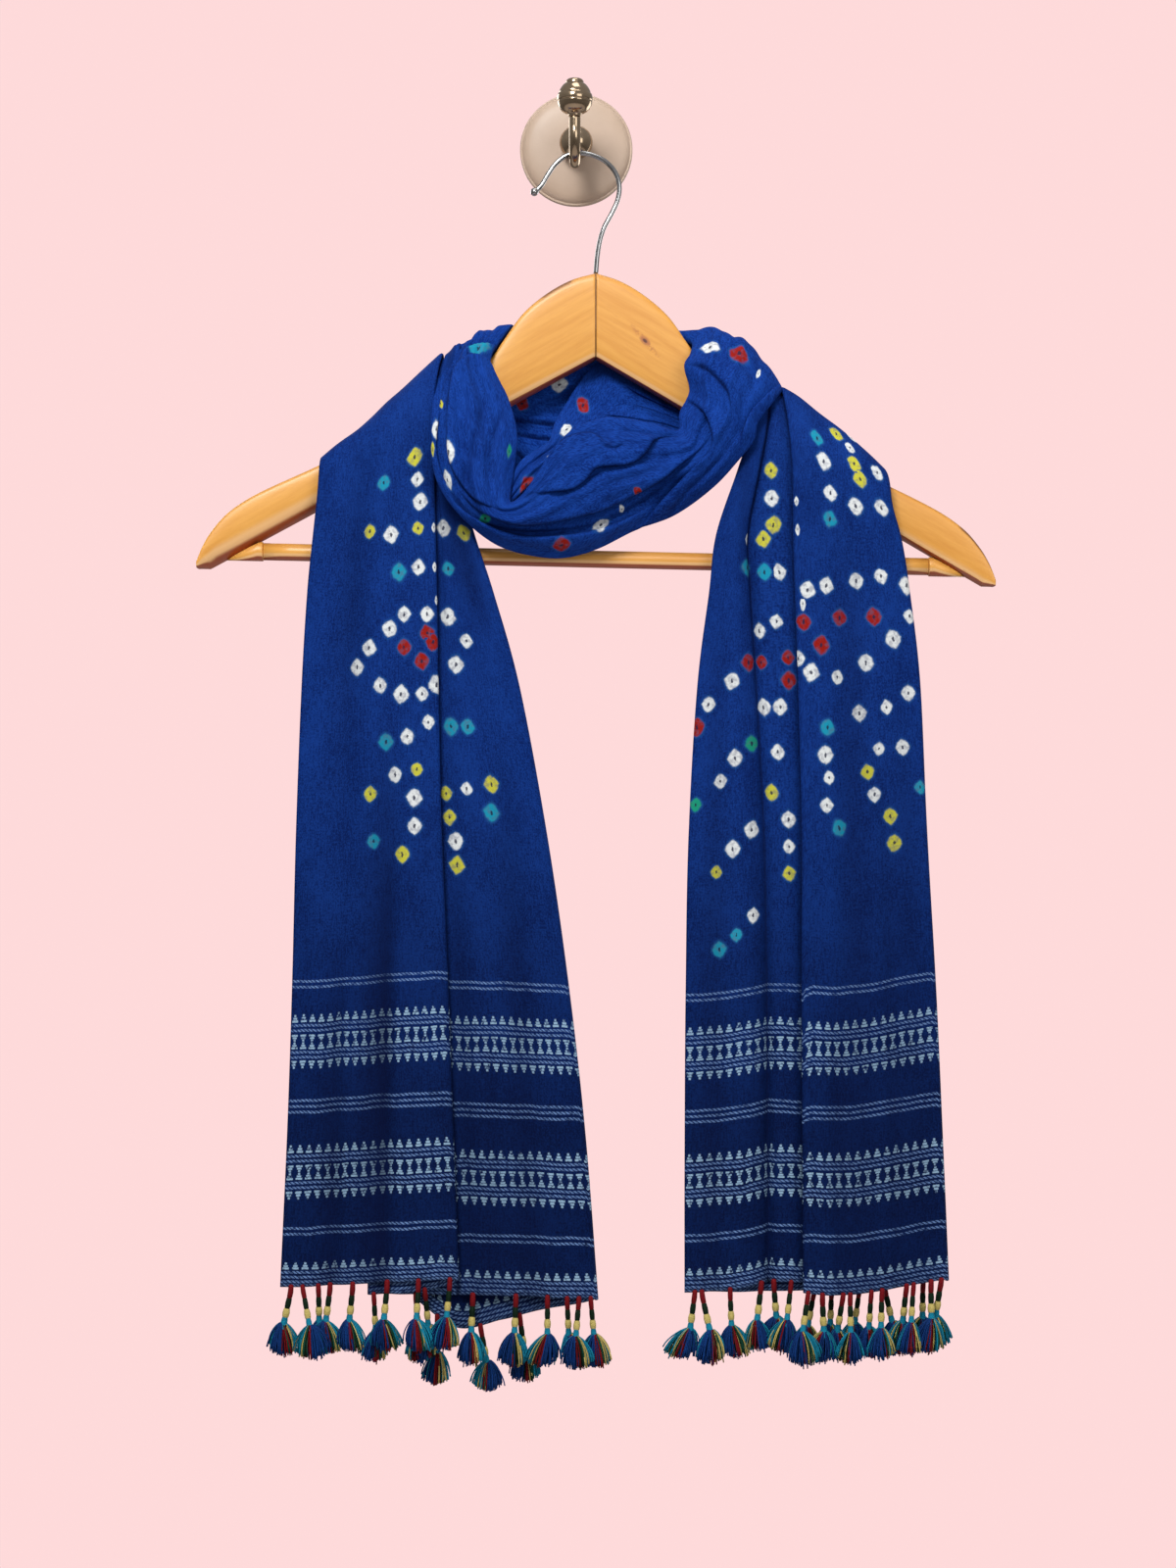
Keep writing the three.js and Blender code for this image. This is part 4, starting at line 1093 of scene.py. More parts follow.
# %% Creases of the falls: height, x, depth and width in mm
CREASES_LEFT = creased(
    [(-300, -102, 0, 8), (-360, -104, 1.2, 9), (-470, -109, 2.4, 10), (-560, -111, 2.6, 11),
     (-650, -112, 2.2, 12)],
    [(-400, -66, 0, 6), (-450, -65, 1.4, 7), (-560, -60, 2.0, 8), (-650, -56, 1.6, 9)],
    [(-440, -134, 0, 5), (-520, -136.5, 1.3, 6), (-650, -139, 1.9, 7)],
    [(-180, -83, 0, 5), (-215, -71, 2.2, 7), (-250, -60, 2.2, 8), (-290, -50, 0, 6)],
    [(-195, -120, 0.6, 7), (-260, -124, 1.5, 9), (-350, -130, 0.9, 10), (-430, -133, 0, 8)],
    [(-230, -96, -0.8, 7), (-300, -90, -1.4, 9), (-400, -88, -0.6, 10), (-460, -87, 0, 8)],
    [(-330, -44, 0, 7), (-420, -36, 1.3, 8), (-520, -30, 1.8, 9), (-650, -25, 1.9, 10)],
    [(-460, -12, 0, 6), (-560, -4, -1.1, 8), (-650, 0, -1.3, 9)],
    [(-390, -101, 0, 3.5), (-450, -104, 1.3, 4), (-560, -106, 1.6, 4), (-650, -107, 1.4, 5)],
    [(-440, -129, 0, 3.5), (-500, -131.5, 1.3, 4), (-650, -134.5, 1.4, 5)],
    [(-420, -94, 0, 3.5), (-480, -96, -1.1, 4), (-560, -97, -1.2, 5), (-650, -98, -1.0, 5)],
    [(-480, -50, 0, 4), (-540, -47, 1.2, 5), (-650, -44, 1.4, 6)],
)
CREASES_RIGHT = creased(
    [(-180, 93, 0.8, 4), (-240, 95, 1.6, 5), (-330, 98, 1.0, 5), (-475, 103, 1.3, 5),
     (-650, 104, 1.5, 6)],
    [(-210, 146, 0, 9), (-270, 149, 1.2, 11), (-400, 153, 1.8, 12), (-650, 160, 1.6, 14)],
    [(-260, 178, 0, 7), (-380, 182, 1.1, 8), (-520, 186, 1.5, 9), (-650, 190, 1.6, 10)],
    [(-200, 132, -0.4, 6), (-320, 136, -1.0, 8), (-480, 138, -0.4, 8), (-560, 139, 0, 8)],
    [(-250, 80, 0, 5), (-340, 78, 1.0, 6), (-480, 76, 1.3, 7), (-650, 75, 1.5, 7)],
    [(-420, 92, 0, 5), (-520, 91, -0.9, 6), (-650, 90, -1.1, 6)],
    [(-330, 168, 0, 4), (-430, 172, 1.2, 4.5), (-540, 175, 1.4, 5), (-650, 178, 1.3, 5)],
    [(-460, 142, 0, 4), (-540, 144, 1.2, 5), (-650, 146, 1.2, 5)],
)
left_grid, left_u, left_layers, left_shade = fall_grid(
    FALL_LEFT, section_left, CREASES_LEFT, seed=11, flatter=0.5, sag=6
)
right_grid, right_u, right_layers, right_shade = fall_grid(
    FALL_RIGHT, section_right, CREASES_RIGHT, seed=12, flatter=0.5, sag=-3.5
)
print("columns in each layer:", *[dict(zip(*np.unique(names, return_counts=True)))
                                 for names in (left_layers, right_layers)])

# %% [markdown]
# ### Their dots
# The dots lie in rings and short rows. Those that show are placed one by one, colour by
# colour; a few more are on the layers behind.

# %% Dots of the falls
DOTS_LEFT = {  # x and z in mm, then width and height where they are its own
    WHITE: [
        (-102, -280), (-115, -290), (-122, -301), (-108, -311), (-97, -317), (-84, -316),
        (-76, -311), (-66, -301), (-60, -286), (-71, -273), (-82, -272), (-95, -274),
        (-87, -200), (-85, -212), (-86, -247), (-102, -228), (-73, -226), (-93, -339),
        (-81, -332), (-99, -361), (-61, -370), (-89, -375), (-89, -390), (-66, -398),
        (-76, -225, 2.6, 6), (-75.6, -246, 2.6, 6), (-75, -265, 2.2, 6),
    ],
    RED: [(-95, -292), (-79, -287), (-85, -298), (-82, -284)],
    YELLOW: [
        (-88, -186), (-87, -226), (-114, -227), (-62, -228), (-87, -358), (-114, -371),
        (-46, -366), (-72, -372), (-70, -385), (-96, -405), (-66, -411),
    ],
    TEAL: [
        (-97, -250), (-70, -246), (-106, -201), (-105, -343), (-60, -334), (-69, -334),
        (-47, -383), (-111, -397),
    ],
}
DOTS_RIGHT = {
    WHITE: [
        (127, -259), (139, -257), (154, -255), (168, -253), (183, -257), (185, -273),
        (175, -286), (160, -299), (145, -307), (129, -305), (122, -297), (101, -281),
        (112, -277), (86, -310), (73, -322), (102, -323), (114, -324), (184, -315),
        (171, -323), (156, -328), (153, -179), (136, -189), (140, -205), (154, -214),
        (169, -214), (167, -194), (109, -207), (114, -248), (138, -350), (140, -364),
        (139, -377), (181, -346), (168, -348), (165, -371), (88, -353), (80, -364),
        (112, -348), (117, -385), (97, -392), (86, -403), (119, -401), (98, -440),
        (121.6, -211.5, 2.6, 6), (122, -226, 2.6, 7), (124.4, -267, 3.5, 9), (96.6, -230, 3, 7),
    ],
    RED: [
        (126, -277), (145, -274), (164, -274), (135, -289), (118, -296), (117, -308),
        (96, -298), (103, -300), (66, -336),
    ],
    TEAL: [
        (139, -334), (145, -390), (190, -367), (140, -220), (134, -175), (104, -249),
        (97, -247), (80, -459), (88, -450),
    ],
    GREEN: [(98, -343), (67, -378)],
    YELLOW: [
        (146, -171), (154, -188), (157, -198), (108, -194), (109, -222), (105, -231),
        (160, -359), (173, -385), (175, -398), (108, -371), (78, -414), (119, -417),
    ],
}
HIDDEN_DOTS = [  # share of the rows, share of the columns, colour
    (0.40, 0.93, WHITE), (0.43, 0.90, WHITE), (0.47, 0.88, WHITE), (0.51, 0.90, WHITE),
    (0.53, 0.94, WHITE), (0.50, 0.97, WHITE), (0.43, 0.97, WHITE), (0.46, 0.94, RED),
    (0.49, 0.92, YELLOW), (0.33, 0.92, TEAL), (0.30, 0.86, WHITE), (0.36, 0.80, YELLOW),
    (0.58, 0.84, WHITE), (0.61, 0.80, TEAL), (0.06, 0.30, WHITE), (0.08, 0.22, YELLOW),
    (0.07, 0.42, RED), (0.10, 0.52, WHITE),
    (0.05, 0.80, WHITE), (0.09, 0.86, TEAL), (0.20, 0.90, WHITE), (0.22, 0.82, WHITE),
]

# %% The cloth pieces of the falls
def all_dots(grid, seed, shown, hidden=()):
    """Every dot of a cloth, as cloth_shell takes them."""
    random = np.random.default_rng(seed)
    places = [(dye, place) for dye, of_colour in shown.items() for place in of_colour]
    front = [dot_at(grid, random, dye, *place) for dye, place in places]
    return front + [hidden_dot(grid, random, *place) for place in hidden]


SOFT_COLUMNS = 5


def by_layer(layers, values):
    """A value for each column by its layer, softened over SOFT_COLUMNS. A turn between two
    layers keeps the value of the one before it."""
    value, column = 1.0, []
    for layer in layers:
        value = values.get(layer, value)
        column.append(value)
    padded = np.pad(column, SOFT_COLUMNS // 2, "edge")
    return np.convolve(padded, np.ones(SOFT_COLUMNS) / SOFT_COLUMNS, "valid")


# How many times closer to the hem the borders lie on a layer than they were woven.
left_beat = by_layer(left_layers, {"open": 0.975})
right_beat = by_layer(right_layers, {"front": 1.03, "wide": 1.0})

for side, grid, u, shade, beat, shown, nodes in [
    ("left", left_grid, left_u, left_shade, left_beat, DOTS_LEFT, ["fall_left"]),
    ("right", right_grid, right_u, right_shade, right_beat, DOTS_RIGHT,
     ["fall_right", "fall_right_rear"]),
]:
    dots = all_dots(grid, 21, shown, HIDDEN_DOTS)
    piece = cloth_shell(f"shawl_{side}", grid, u, cotton_bordered, dots, shade, beat)
    stands_for(piece, "cloth", *nodes)

# %% [markdown]
# ## The loop round the neck
# The middle of the shawl comes over the left arm, turns in a deep V, swings across the front
# and climbs over the right arm. Its form is a band between an inner and an outer edge that
# swells out between them. Its folds are drawn as paths seen from the front: beside each, the
# cloth on one side stands out and laps a little over the other. Its long edges roll under.

# %% Tables of the loop and of the stretches behind it
EDGES = "at inX inY inZ outX outY outZ swell lean"  # both edges, the swell and where it points
LOOP = Table(
    EDGES,
    (0, -34, -31, -109, -61, -31, -150, 3, 165),
    (1, -37.5, -44, -109.5, -76, -44, -132, 6, 90),
    (2, -48, -58, -130, -78.6, -65, -145, 8, 45),
    (3, -38, -67, -152, -79, -80, -167, 9, 5),
    (4, -32.5, -74, -174, -78.4, -83, -189.5, 10, 0),
    (5, -34.5, -80, -197, -73, -82, -206, 10, 0),
    (6, -36, -86, -212, -60, -79, -222, 9, 0),
    (7, -29, -88, -208.5, -43, -74, -234.5, 9, -5),
    (8, -20, -88, -196, -24, -71, -240, 10, -8),
    (9, -11, -87, -181.5, -6.5, -69, -241, 12, -8),
    (10, 1.5, -85, -171, 12, -68, -236, 13, -8),
    (11, 20, -82, -165.5, 33, -67, -225.5, 13, -5),
    (12, 41.5, -77, -168.5, 55, -66, -217, 12, 0),
    (13, 56.5, -71, -171, 76, -69, -202, 10, 0),
    (14, 58, -66, -160, 91, -73, -186, 9, 2),
    (14.5, 63.4, -63, -148, 98, -75, -177, 9.5, 8),
    (15, 60.6, -61, -134, 100.5, -74, -167, 10, 25),
    (15.5, 64, -56, -126.5, 109, -66, -155, 12, 50),
    (16, 65.2, -47.5, -118.6, 115.2, -53, -146, 15.5, 76),
    (16.5, 59, -41, -113, 112, -42, -148, 15, 97),
    (17, 50.5, -32, -108.5, 103, -31, -154, 8, 140),
)
INNER = Table(
    EDGES,
    (0, -38, -79, -205, -37, -79, -213, 0.4, 0),
    (1, -31, -76, -190, -27, -79, -203, 1.2, 0),
    (2, -23, -72, -183, -15, -77, -192, 1.4, 0),
    (3, -14.5, -66, -176, -6, -74, -185, 1.6, 0),
    (4, -11.5, -56, -165, 4, -71, -180, 1, 0),
    (5, -5, -44, -152, 14, -69, -176, -2, 0),
    (6, 6, -32, -134, 24, -67, -175, -6, 0),
    (7, 20, -31.5, -124, 36, -65, -175, -8, 0),
    (8, 44, -31.5, -135, 50, -62, -177, -7, 0),
    (9, 64, -33, -150, 64, -55, -180, -4, 0),
)
NECK_INNER = Table(
    EDGES,
    (0, -45.5, -30.5, -113, -60.2, -30.5, -165, 2, 175),
    (1, -22, -29, -108, -36, -29, -207, 2, 180),
    (2, 12, -28.5, -108, 6, -29, -207, 2, 180),
    (3, 52, -29.5, -120, 57, -31, -182, 2, 180),
    (4, 88, -31, -150, 104, -32, -182, 1.5, 180),
    (5, 110, -30.5, -184.6, 165, -31, -221.5, 0, 180),
)
NECK_OUTER = Table(
    EDGES,
    (0, 62, -29, -112, 101, -27, -160, 2, 175),
    (1, 34, -20, -110, 62, -20, -184, 2, 180),
    (2, 2, -18, -108, 8, -18, -190, 2, 180),
    (3, -36, -20, -120, -44, -20, -202, 2, 180),
    (4, -68, -25, -146, -92, -26, -216, 1.5, 180),
    (5, -90, -31, -174.6, -137, -31, -212.4, 0, 180),
)

# %% The grid of a stretch and its folds
CURL, ROLL_TURN = 0.09, 115  # the share of the width that rolls under, and its turn in degrees
FINER_GATHERS = SimpleNamespace(height=0.4, count=2.3, drift=0.17)  # beside the main ones


def edges(r):
    """The inner and the outer edge of a stretch, as points in mm."""
    return (np.stack([r.inX, r.inY, r.inZ], -1), np.stack([r.outX, r.outY, r.outZ], -1))


def stretch_grid(table, rows, columns, waves, seed, roll, folds, crumple):
    """Points of a stretch of cloth, in metres, and the shade in its folds, 0 to 1.

    Across it the cloth stands out by swell * sin(pi * across) ** 0.8, along the direction that
    leans from the front (0) over the top (90) to the back (180). `waves` is (depth, count,
    drift) of the gathers that run along it. Past both edges it rolls under, on a radius `roll`.
    """
    random = np.random.default_rng(seed)
    at, r = evenly(table, lambda rough: sum(edges(rough)), rows)
    inner, outer = (edge[:, None] for edge in edges(r))
    at, lean = at[:, None], np.radians(r.lean)[:, None]
    outward_way = np.stack([0 * lean, -np.cos(lean), np.sin(lean)], -1)

    curl = CURL if roll else 0.0
    spread = np.linspace(-curl, 1 + curl, columns)[None, :]
    across = np.clip(spread, 0, 1)
    depth, count, drift = waves
    phase = count * (across - drift * at)
    finer = FINER_GATHERS.count * phase + FINER_GATHERS.drift * at
    gathers = np.sin(2 * np.pi * phase) + FINER_GATHERS.height * np.sin(2 * np.pi * finer)
    hump = np.sin(np.pi * across)
    out = r.swell[:, None] * hump**0.8 + depth * gathers * hump
    points = inner + across[..., None] * (outer - inner) + out[..., None] * outward_way

    x, z = points[..., 0], points[..., 2]
    facing = np.clip((np.abs(np.cos(lean)) + 0.1) / 0.4, 0, 1) * np.sign(np.cos(lean))
    push, slide, shade = np.zeros(x.shape), np.zeros(x.shape + (3,)), np.zeros(x.shape)
    for fold in folds:
        rise, aside, dark = folded(x, z, *fold)
        push += rise * facing
        slide += aside * facing[..., None]
        shade = np.maximum(shade, dark * np.abs(facing))
    push += crumpled(x * 0.6 + z, x - z, random, (11, 17, 29), crumple) * hump
    points = points + push[..., None] * outward_way + slide

    if roll:
        beyond = np.maximum(-spread, 0) + np.maximum(spread - 1, 0)
        angle = beyond / curl * np.radians(ROLL_TURN)
        to_middle = np.where(spread < 0.5, 1, -1)[..., None] * (outer - inner)
        to_middle = to_middle / np.linalg.norm(to_middle, axis=-1, keepdims=True)
        points = points - (roll * np.sin(angle))[..., None] * outward_way
        points = points + (roll * (1 - np.cos(angle)))[..., None] * to_middle
    return points * MM, shade


def folded(x, z, path, rise, soft, reach, lap=0.0):
    """How far a fold lifts the cloth and pushes it aside, in mm, and how dark it is inside.

    With d the distance from the fold's path, above 0 on the left of its way, the lift is
    rise * tanh(d / soft) * exp(-|d| / reach), and the cloth near the path moves across it by
    lap. Both fade out at the path's ends. With soft below 0 the fold is a groove (rise below 0)
    or a ridge instead: rise * exp(-(d / soft) ** 2). The shade is a line on the lower side,
    exp(-(e / 0.8) ** 2) with e the distance from its middle, deeper for a deeper fold.
    """
    path = np.array(path, float)
    steps = np.linspace(0, 1, 90)
    way = lengths(path)
    line = smooth(way / way[-1], path, steps)
    along = np.gradient(line, axis=0)
    along /= np.linalg.norm(along, axis=1, keepdims=True)
    gap_x, gap_z = x[..., None] - line[:, 0], z[..., None] - line[:, 1]
    k = (gap_x**2 + gap_z**2).argmin(axis=-1)
    pick = np.take_along_axis
    near_x, near_z = (pick(gap, k[..., None], -1)[..., 0] for gap in (gap_x, gap_z))
    side = along[k, 0] * near_z - along[k, 1] * near_x
    away = np.hypot(near_x, near_z)
    fade = np.clip(np.sin(np.pi * np.clip(steps[k], 0.02, 0.98)) * 1.7, 0, 1)
    fade = fade * np.exp(-((np.maximum(away - np.abs(side), 0) / 2.0) ** 2))
    if soft < 0:
        bump = np.exp(-((side / soft) ** 2)) * fade
        return rise * bump, np.zeros(x.shape + (3,)), max(-rise, 0) * 0.14 * bump
    bend = np.tanh(side / soft)
    lift = rise * bend * np.exp(-np.abs(side) / reach) * fade
    aside = -lap * bend * np.exp(-((side / (2.5 * soft)) ** 2)) * fade
    across = np.stack([-along[k, 1], 0 * side, along[k, 0]], -1)
    line = np.exp(-(((side + np.sign(rise) * 0.5) / 0.8) ** 2)) * fade
    return lift, aside[..., None] * across, line * min(abs(rise) / 3, 1)

# %% Folds: path from x, z in mm, then rise, softness, reach and lap
LOOP_FOLDS = [
    # the outer layers show above and beside the rounded top of the lobe
    ([(-71, -163), (-69.5, -150), (-66, -139), (-60.5, -132), (-54.8, -130), (-49, -132),
      (-45, -138), (-40, -146)], -3.2, 0.5, 9, 0.8),
    ([(-40, -116), (-54, -117), (-62, -121), (-68, -130), (-72, -143), (-74, -158),
      (-75.5, -172)], 1.8, 0.5, 5, 0.8),
    ([(-40, -121), (-53, -121), (-60, -124), (-65.5, -132), (-69.5, -143)], 1.6, 0.5, 4, 0.7),
    # the lobe's long folds, which come down from the arm and turn with it
    ([(-73, -147), (-75.5, -165), (-76.5, -182), (-73.5, -197), (-66, -209)], -2.2, 0.6, 4, 0.9),
    ([(-62, -128), (-66.5, -140), (-69, -156.5), (-70, -173), (-68.6, -189), (-63, -201),
      (-53, -212), (-38, -218)], 2.8, 0.6, 6, 1.1),
    ([(-50, -150), (-53, -172), (-57, -190), (-60, -203), (-54, -212)], -1.8, -2.6, 0),
    ([(-39, -160), (-45, -178), (-45, -196), (-39, -208)], -1.6, -2.0, 0),
    # the deep fold below the V, all the way to the right shoulder, and the bottom roll
    ([(-66, -203), (-57, -213), (-47.5, -219.5), (-31, -224), (-11, -222.2), (1.4, -219.3),
      (15, -215.4), (31.7, -207.5), (47.3, -198.8), (57, -191), (66.8, -183), (73, -177)],
     3.6, 0.6, 9, 1.5),
    ([(-72, -201), (-63, -214), (-48, -224), (-30, -228), (-6, -227.5), (14, -222.5),
      (31.7, -213), (41.4, -206.6), (53, -196.8), (62.8, -188), (72, -179)], -2.6, -1.3, 0),
    ([(-68, -211), (-52, -223), (-30, -230.5), (-6, -230), (14, -226), (31, -219),
      (48, -208.5)], -1.8, 0.7, 10, 0.6),
    ([(-40, -233), (-20, -237), (0, -238), (17, -232), (34, -221)], -1.3, -2.0, 0),
    # the soft S across the swag, the front pleat and its dimple
    ([(-26, -208), (-13, -206.6), (-1.5, -204.7), (5.4, -199.8), (11.2, -193.5), (20, -192),
      (28, -191.3), (34, -188.6), (39.5, -183), (42.4, -178.3), (47, -176), (60, -175)],
     3.0, 0.7, 9, 1.0),
    ([(-17, -191), (-12.7, -185), (-8.7, -180.3), (-2.5, -176.6), (6.3, -174.6), (11, -176),
      (15.1, -179.4), (20, -181.4), (25, -180.6)], -2.8, 0.6, 7, 1.0),
    ([(12, -178), (17, -182.5), (22, -183), (27, -180.5)], -2.4, -1.3, 0),
    ([(-31, -213), (-24, -209), (-17, -201), (-10, -193), (-5, -187)], -1.8, -1.5, 0),
    ([(14, -201), (28, -200), (42, -194), (54, -184)], -1.2, -2.4, 0),
    ([(20, -172), (34, -174), (48, -175), (60, -174)], -1.4, -1.3, 0),
    # the right shoulder lies over the swag
    ([(34, -226), (42.6, -216.5), (53.4, -204.8), (67, -191), (74, -184), (75.6, -177),
      (74.5, -170.4), (72, -163.5), (67, -157), (60, -152)], -3.8, 0.6, 10, 1.5),
    ([(48, -221), (60, -207), (73, -194), (84, -183)], -1.6, -1.5, 0),
    ([(62, -133), (70, -135), (78, -142), (84, -151), (86, -163)], 2.2, 0.7, 7, 0.9),
    ([(88, -128), (96, -140), (99, -152)], -1.2, -2.0, 0),
    ([(114, -143), (104, -154), (97, -161.5), (93, -170), (90, -181)], 2.4, 0.5, 3.5, 0.6),
]
NECK_FOLDS = [  # gathers that show in the hollow and under the mitre
    ([(-46, -157), (-32, -159), (-20, -160.5), (-6, -162)], 2.0, 0.6, 5, 0.8),
    ([(-46, -166), (-33, -167), (-16, -169.5), (-2, -170)], 2.2, 0.6, 5, 0.8),
    ([(-44, -174), (-32, -178.5), (-26, -186), (-16, -190)], 2.2, 0.6, 6, 0.8),
    ([(-42, -186), (-30, -192), (-18, -196)], 1.6, 0.6, 5, 0.6),
    ([(-32, -152), (-20, -149), (-8, -144), (2, -138)], 1.3, 0.6, 5, 0.6),
    ([(-2, -130), (8, -132), (22, -137), (36, -142), (50, -150)], 1.8, 0.6, 5, 0.8),
]
INNER_FOLDS = [
    ([(26, -140), (36, -146), (46, -151), (60, -157)], 1.6, 0.6, 4, 0.6),
    ([(10, -159), (22, -160), (36, -162), (50, -164), (64, -168)], 1.8, 0.6, 5, 0.7),
    ([(30, -152), (42, -155), (56, -160), (64, -163)], 1.5, 0.6, 4, 0.6),
    ([(2, -163), (16, -164), (30, -167), (50, -170)], 2.2, 0.6, 5, 0.8),
    ([(-29, -196), (-20, -187.5), (-10, -179), (-4, -170), (2, -163)], -1.2, -1.4, 0),
]
stretches = {  # rows, columns, gathers, seed, roll, folds, crumple
    "shawl_loop": stretch_grid(LOOP, 440, 112, (1.2, 3, 0.012), 31, 2.2, LOOP_FOLDS, 0.5),
    "shawl_loop_inner": stretch_grid(INNER, 170, 96, (0.7, 2, 0.02), 32, 1.2, INNER_FOLDS, 0.8),
    "shawl_neck_inner": stretch_grid(NECK_INNER, 180, 130, (1.2, 4, 0.02), 33, 0, NECK_FOLDS, 0.9),
    "shawl_neck_outer": stretch_grid(NECK_OUTER, 150, 90, (1.4, 4, 0.02), 34, 0, (), 1.0),
}
print("stretches:", {name: grid.shape[:2] for name, (grid, _) in stretches.items()})

# %% Dots of the loop and the cloth pieces
DOTS_LOOP = {  # x and z in mm, then width, height and turn where they are its own
    TEAL: [(-54, -124, 17, 12)],
    WHITE: [
        (-76, -172.5, 5, 12), (-70.2, -185.5, 7.5, 16), (-70.2, -200, 6, 12), (14.2, -223.6),
        (26.7, -216.4, 7, 3.4, 0.4), (73.6, -122, 13, 11), (101, -139, 3, 8),
    ],
    RED: [(34.6, -208, 8.5, 6, 0.5), (-7, -236.8, 11.5, 10.5), (90.6, -127, 13.5, 13.5)],
    GREEN: [(-34.6, -183, 4, 9), (-49.4, -222.2, 11, 6)],
    YELLOW: [(-76, -156, 2.6, 7), (-78.4, -183, 2.4, 9)],
}
DOTS_INNER = {
    WHITE: [(-5.2, -169.4, 7, 13, -0.5), (-13.4, -183.7, 3, 8, -0.6)],
    RED: [(4.3, -153.2, 13, 11), (-27, -202)],
}
DOTS_NECK_INNER = {WHITE: [(-9.9, -139, 10, 10)], RED: [(-31, -150.5, 10, 9)]}
DOTS_NECK_OUTER = {WHITE: [(-20, -150), (20, -140), (60, -165)], YELLOW: [(0, -170), (-60, -180)],
                   TEAL: [(36, -128), (-90, -200)]}

for name, shown, finish, nodes in [
    ("shawl_loop", DOTS_LOOP, cotton_plain, ["loop_lobe", "loop_swag", "loop_knuckle"]),
    ("shawl_loop_inner", DOTS_INNER, cotton_plain, ["loop_inner"]),
    ("shawl_neck_inner", DOTS_NECK_INNER, cotton_painted_light, ["neck_back_inner"]),
    ("shawl_neck_outer", DOTS_NECK_OUTER, cotton_plain, ["neck_back_outer"]),
]:
    grid, shade = stretches[name]
    across_it = along_grid(grid, 1).mean(axis=0)
    piece = cloth_shell(name, grid, across_it, finish, all_dots(grid, 41, shown), shade)
    stands_for(piece, "cloth", *nodes)

# %% [markdown]
# ## Tassels
# Each hem carries hand-tied tassels. A cord leaves the hem and is wrapped in red, dark green
# and pale yellow thread, then turquoise threads tie it off and its ends fan out: mostly royal
# blue, with some red, green, yellow and turquoise. Threads are thin three-sided tubes, all of
# a tassel computed together.

# %% Tables of the tassels
TASSELS_LEFT = [  # x, swing to the side, swing to the front, and the layer it hangs from
    (-158, -5, 0, 0), (-152, 5, 7, 0), (-141.5, 0, -4, 0), (-135.5, -3, 1, 0),
    (-122.5, -2.5, -1, 0), (-111, 1, 0, 1), (-103, -2, 5, 0), (-95, 1, -1, 2),
    (-86.5, -1, 7, 0), (-82.5, 2, -3, 1), (-76.5, 0, -1, 3), (-68.5, -2, 5, 0),
    (-57, -1, 4, 2), (-52, 4, -2, 3), (-34, -1, 3, 2), (-31, 3, -1, 3), (-15, 0, 3, 2),
    (-4, 1, -3, 2), (1.5, -2, 5, 2), (9, 2, 0, 2),
]
TASSELS_RIGHT = [
    (66, -3, 0, 0), (70.5, 5, 6, 0), (85.5, 1, 0, 0), (103.5, -3, 4, 0), (109.5, 2, -2, 0),
    (120, -3, 5, 0), (129, -4, 6, 2), (133, -4, -1, 3), (135.5, 1, 1, 2), (142.5, -1, 0, 3),
    (147, -3, -5, 2), (151, 0, 5, 2), (158.5, -3, -2, 3), (164, -1, -4, 2), (168.5, -1, 4, 2),
    (172, 5, 0, 3), (183.5, -2, -3, 2), (187, -2, 5, 2), (193, 0, -2, 3), (196.5, 0, 3, 2),
    (201.5, -3, -4, 2),
]
LAYERS_LEFT, LAYERS_RIGHT = ["front", "tuck", "open", "rear"], ["front", "tuck", "wide", "rear"]

BLUE_THREAD, RED_THREAD = (0.004, 0.040, 0.19), (0.20, 0.006, 0.010)
GREEN_THREAD, DARK_GREEN = (0.005, 0.085, 0.050), (0.003, 0.016, 0.006)
YELLOW_THREAD, TURQUOISE_THREAD = (0.60, 0.48, 0.15), (0.007, 0.23, 0.36)
CORD = [  # each thread round it, and rings as distance below the cord's top and radius in mm
    (RED_THREAD, [(-2.4, 0.9), (-1.6, 1.35), (2.0, 1.5), (4.9, 1.4), (5.2, 1.15)]),
    (DARK_GREEN, [(5.4, 1.4), (8.0, 1.6), (10.6, 1.45), (10.9, 1.2)]),
    (YELLOW_THREAD, [(11.2, 1.6), (13.4, 1.95), (15.6, 1.7)]),
    (TURQUOISE_THREAD, [(16.0, 1.4), (17.6, 1.7), (20.4, 1.8), (22.0, 2.3), (24, 1.0)]),
]
CORD_DOWN, CORD_GIRTH = np.array([ring for _, rings in CORD for ring in rings]).T
CORD_DYES = np.array([dye for dye, rings in CORD for _ in rings])
SKIRT_SHARES = [  # share of the threads and their colour, from one side of the skirt to the other
    (0.09, TURQUOISE_THREAD), (0.10, YELLOW_THREAD), (0.07, GREEN_THREAD), (0.06, DARK_GREEN),
    (0.13, RED_THREAD), (0.51, BLUE_THREAD), (0.04, TURQUOISE_THREAD),
]
SHARE_ENDS = np.cumsum([share for share, _ in SKIRT_SHARES])
SHARE_DYES = np.array([dye for _, dye in SKIRT_SHARES])

# %% Cords and skirts
THREADS, THREAD_RINGS, THREAD_RADIUS = 150, 7, 0.46
THREAD_SIDES, CORD_SIDES = 3, 12
TASSEL_LENGTH, CORD_BELOW_HEM, KNOT_DOWN = 38, 0.7, 19  # mm
TUCKED, TUCKED_AS_FAR_AS = 1.9, 3  # mm behind the hem, and down the cord
SWUNG_OUT = 0.6  # share of the length by which the cord hangs at its full swing


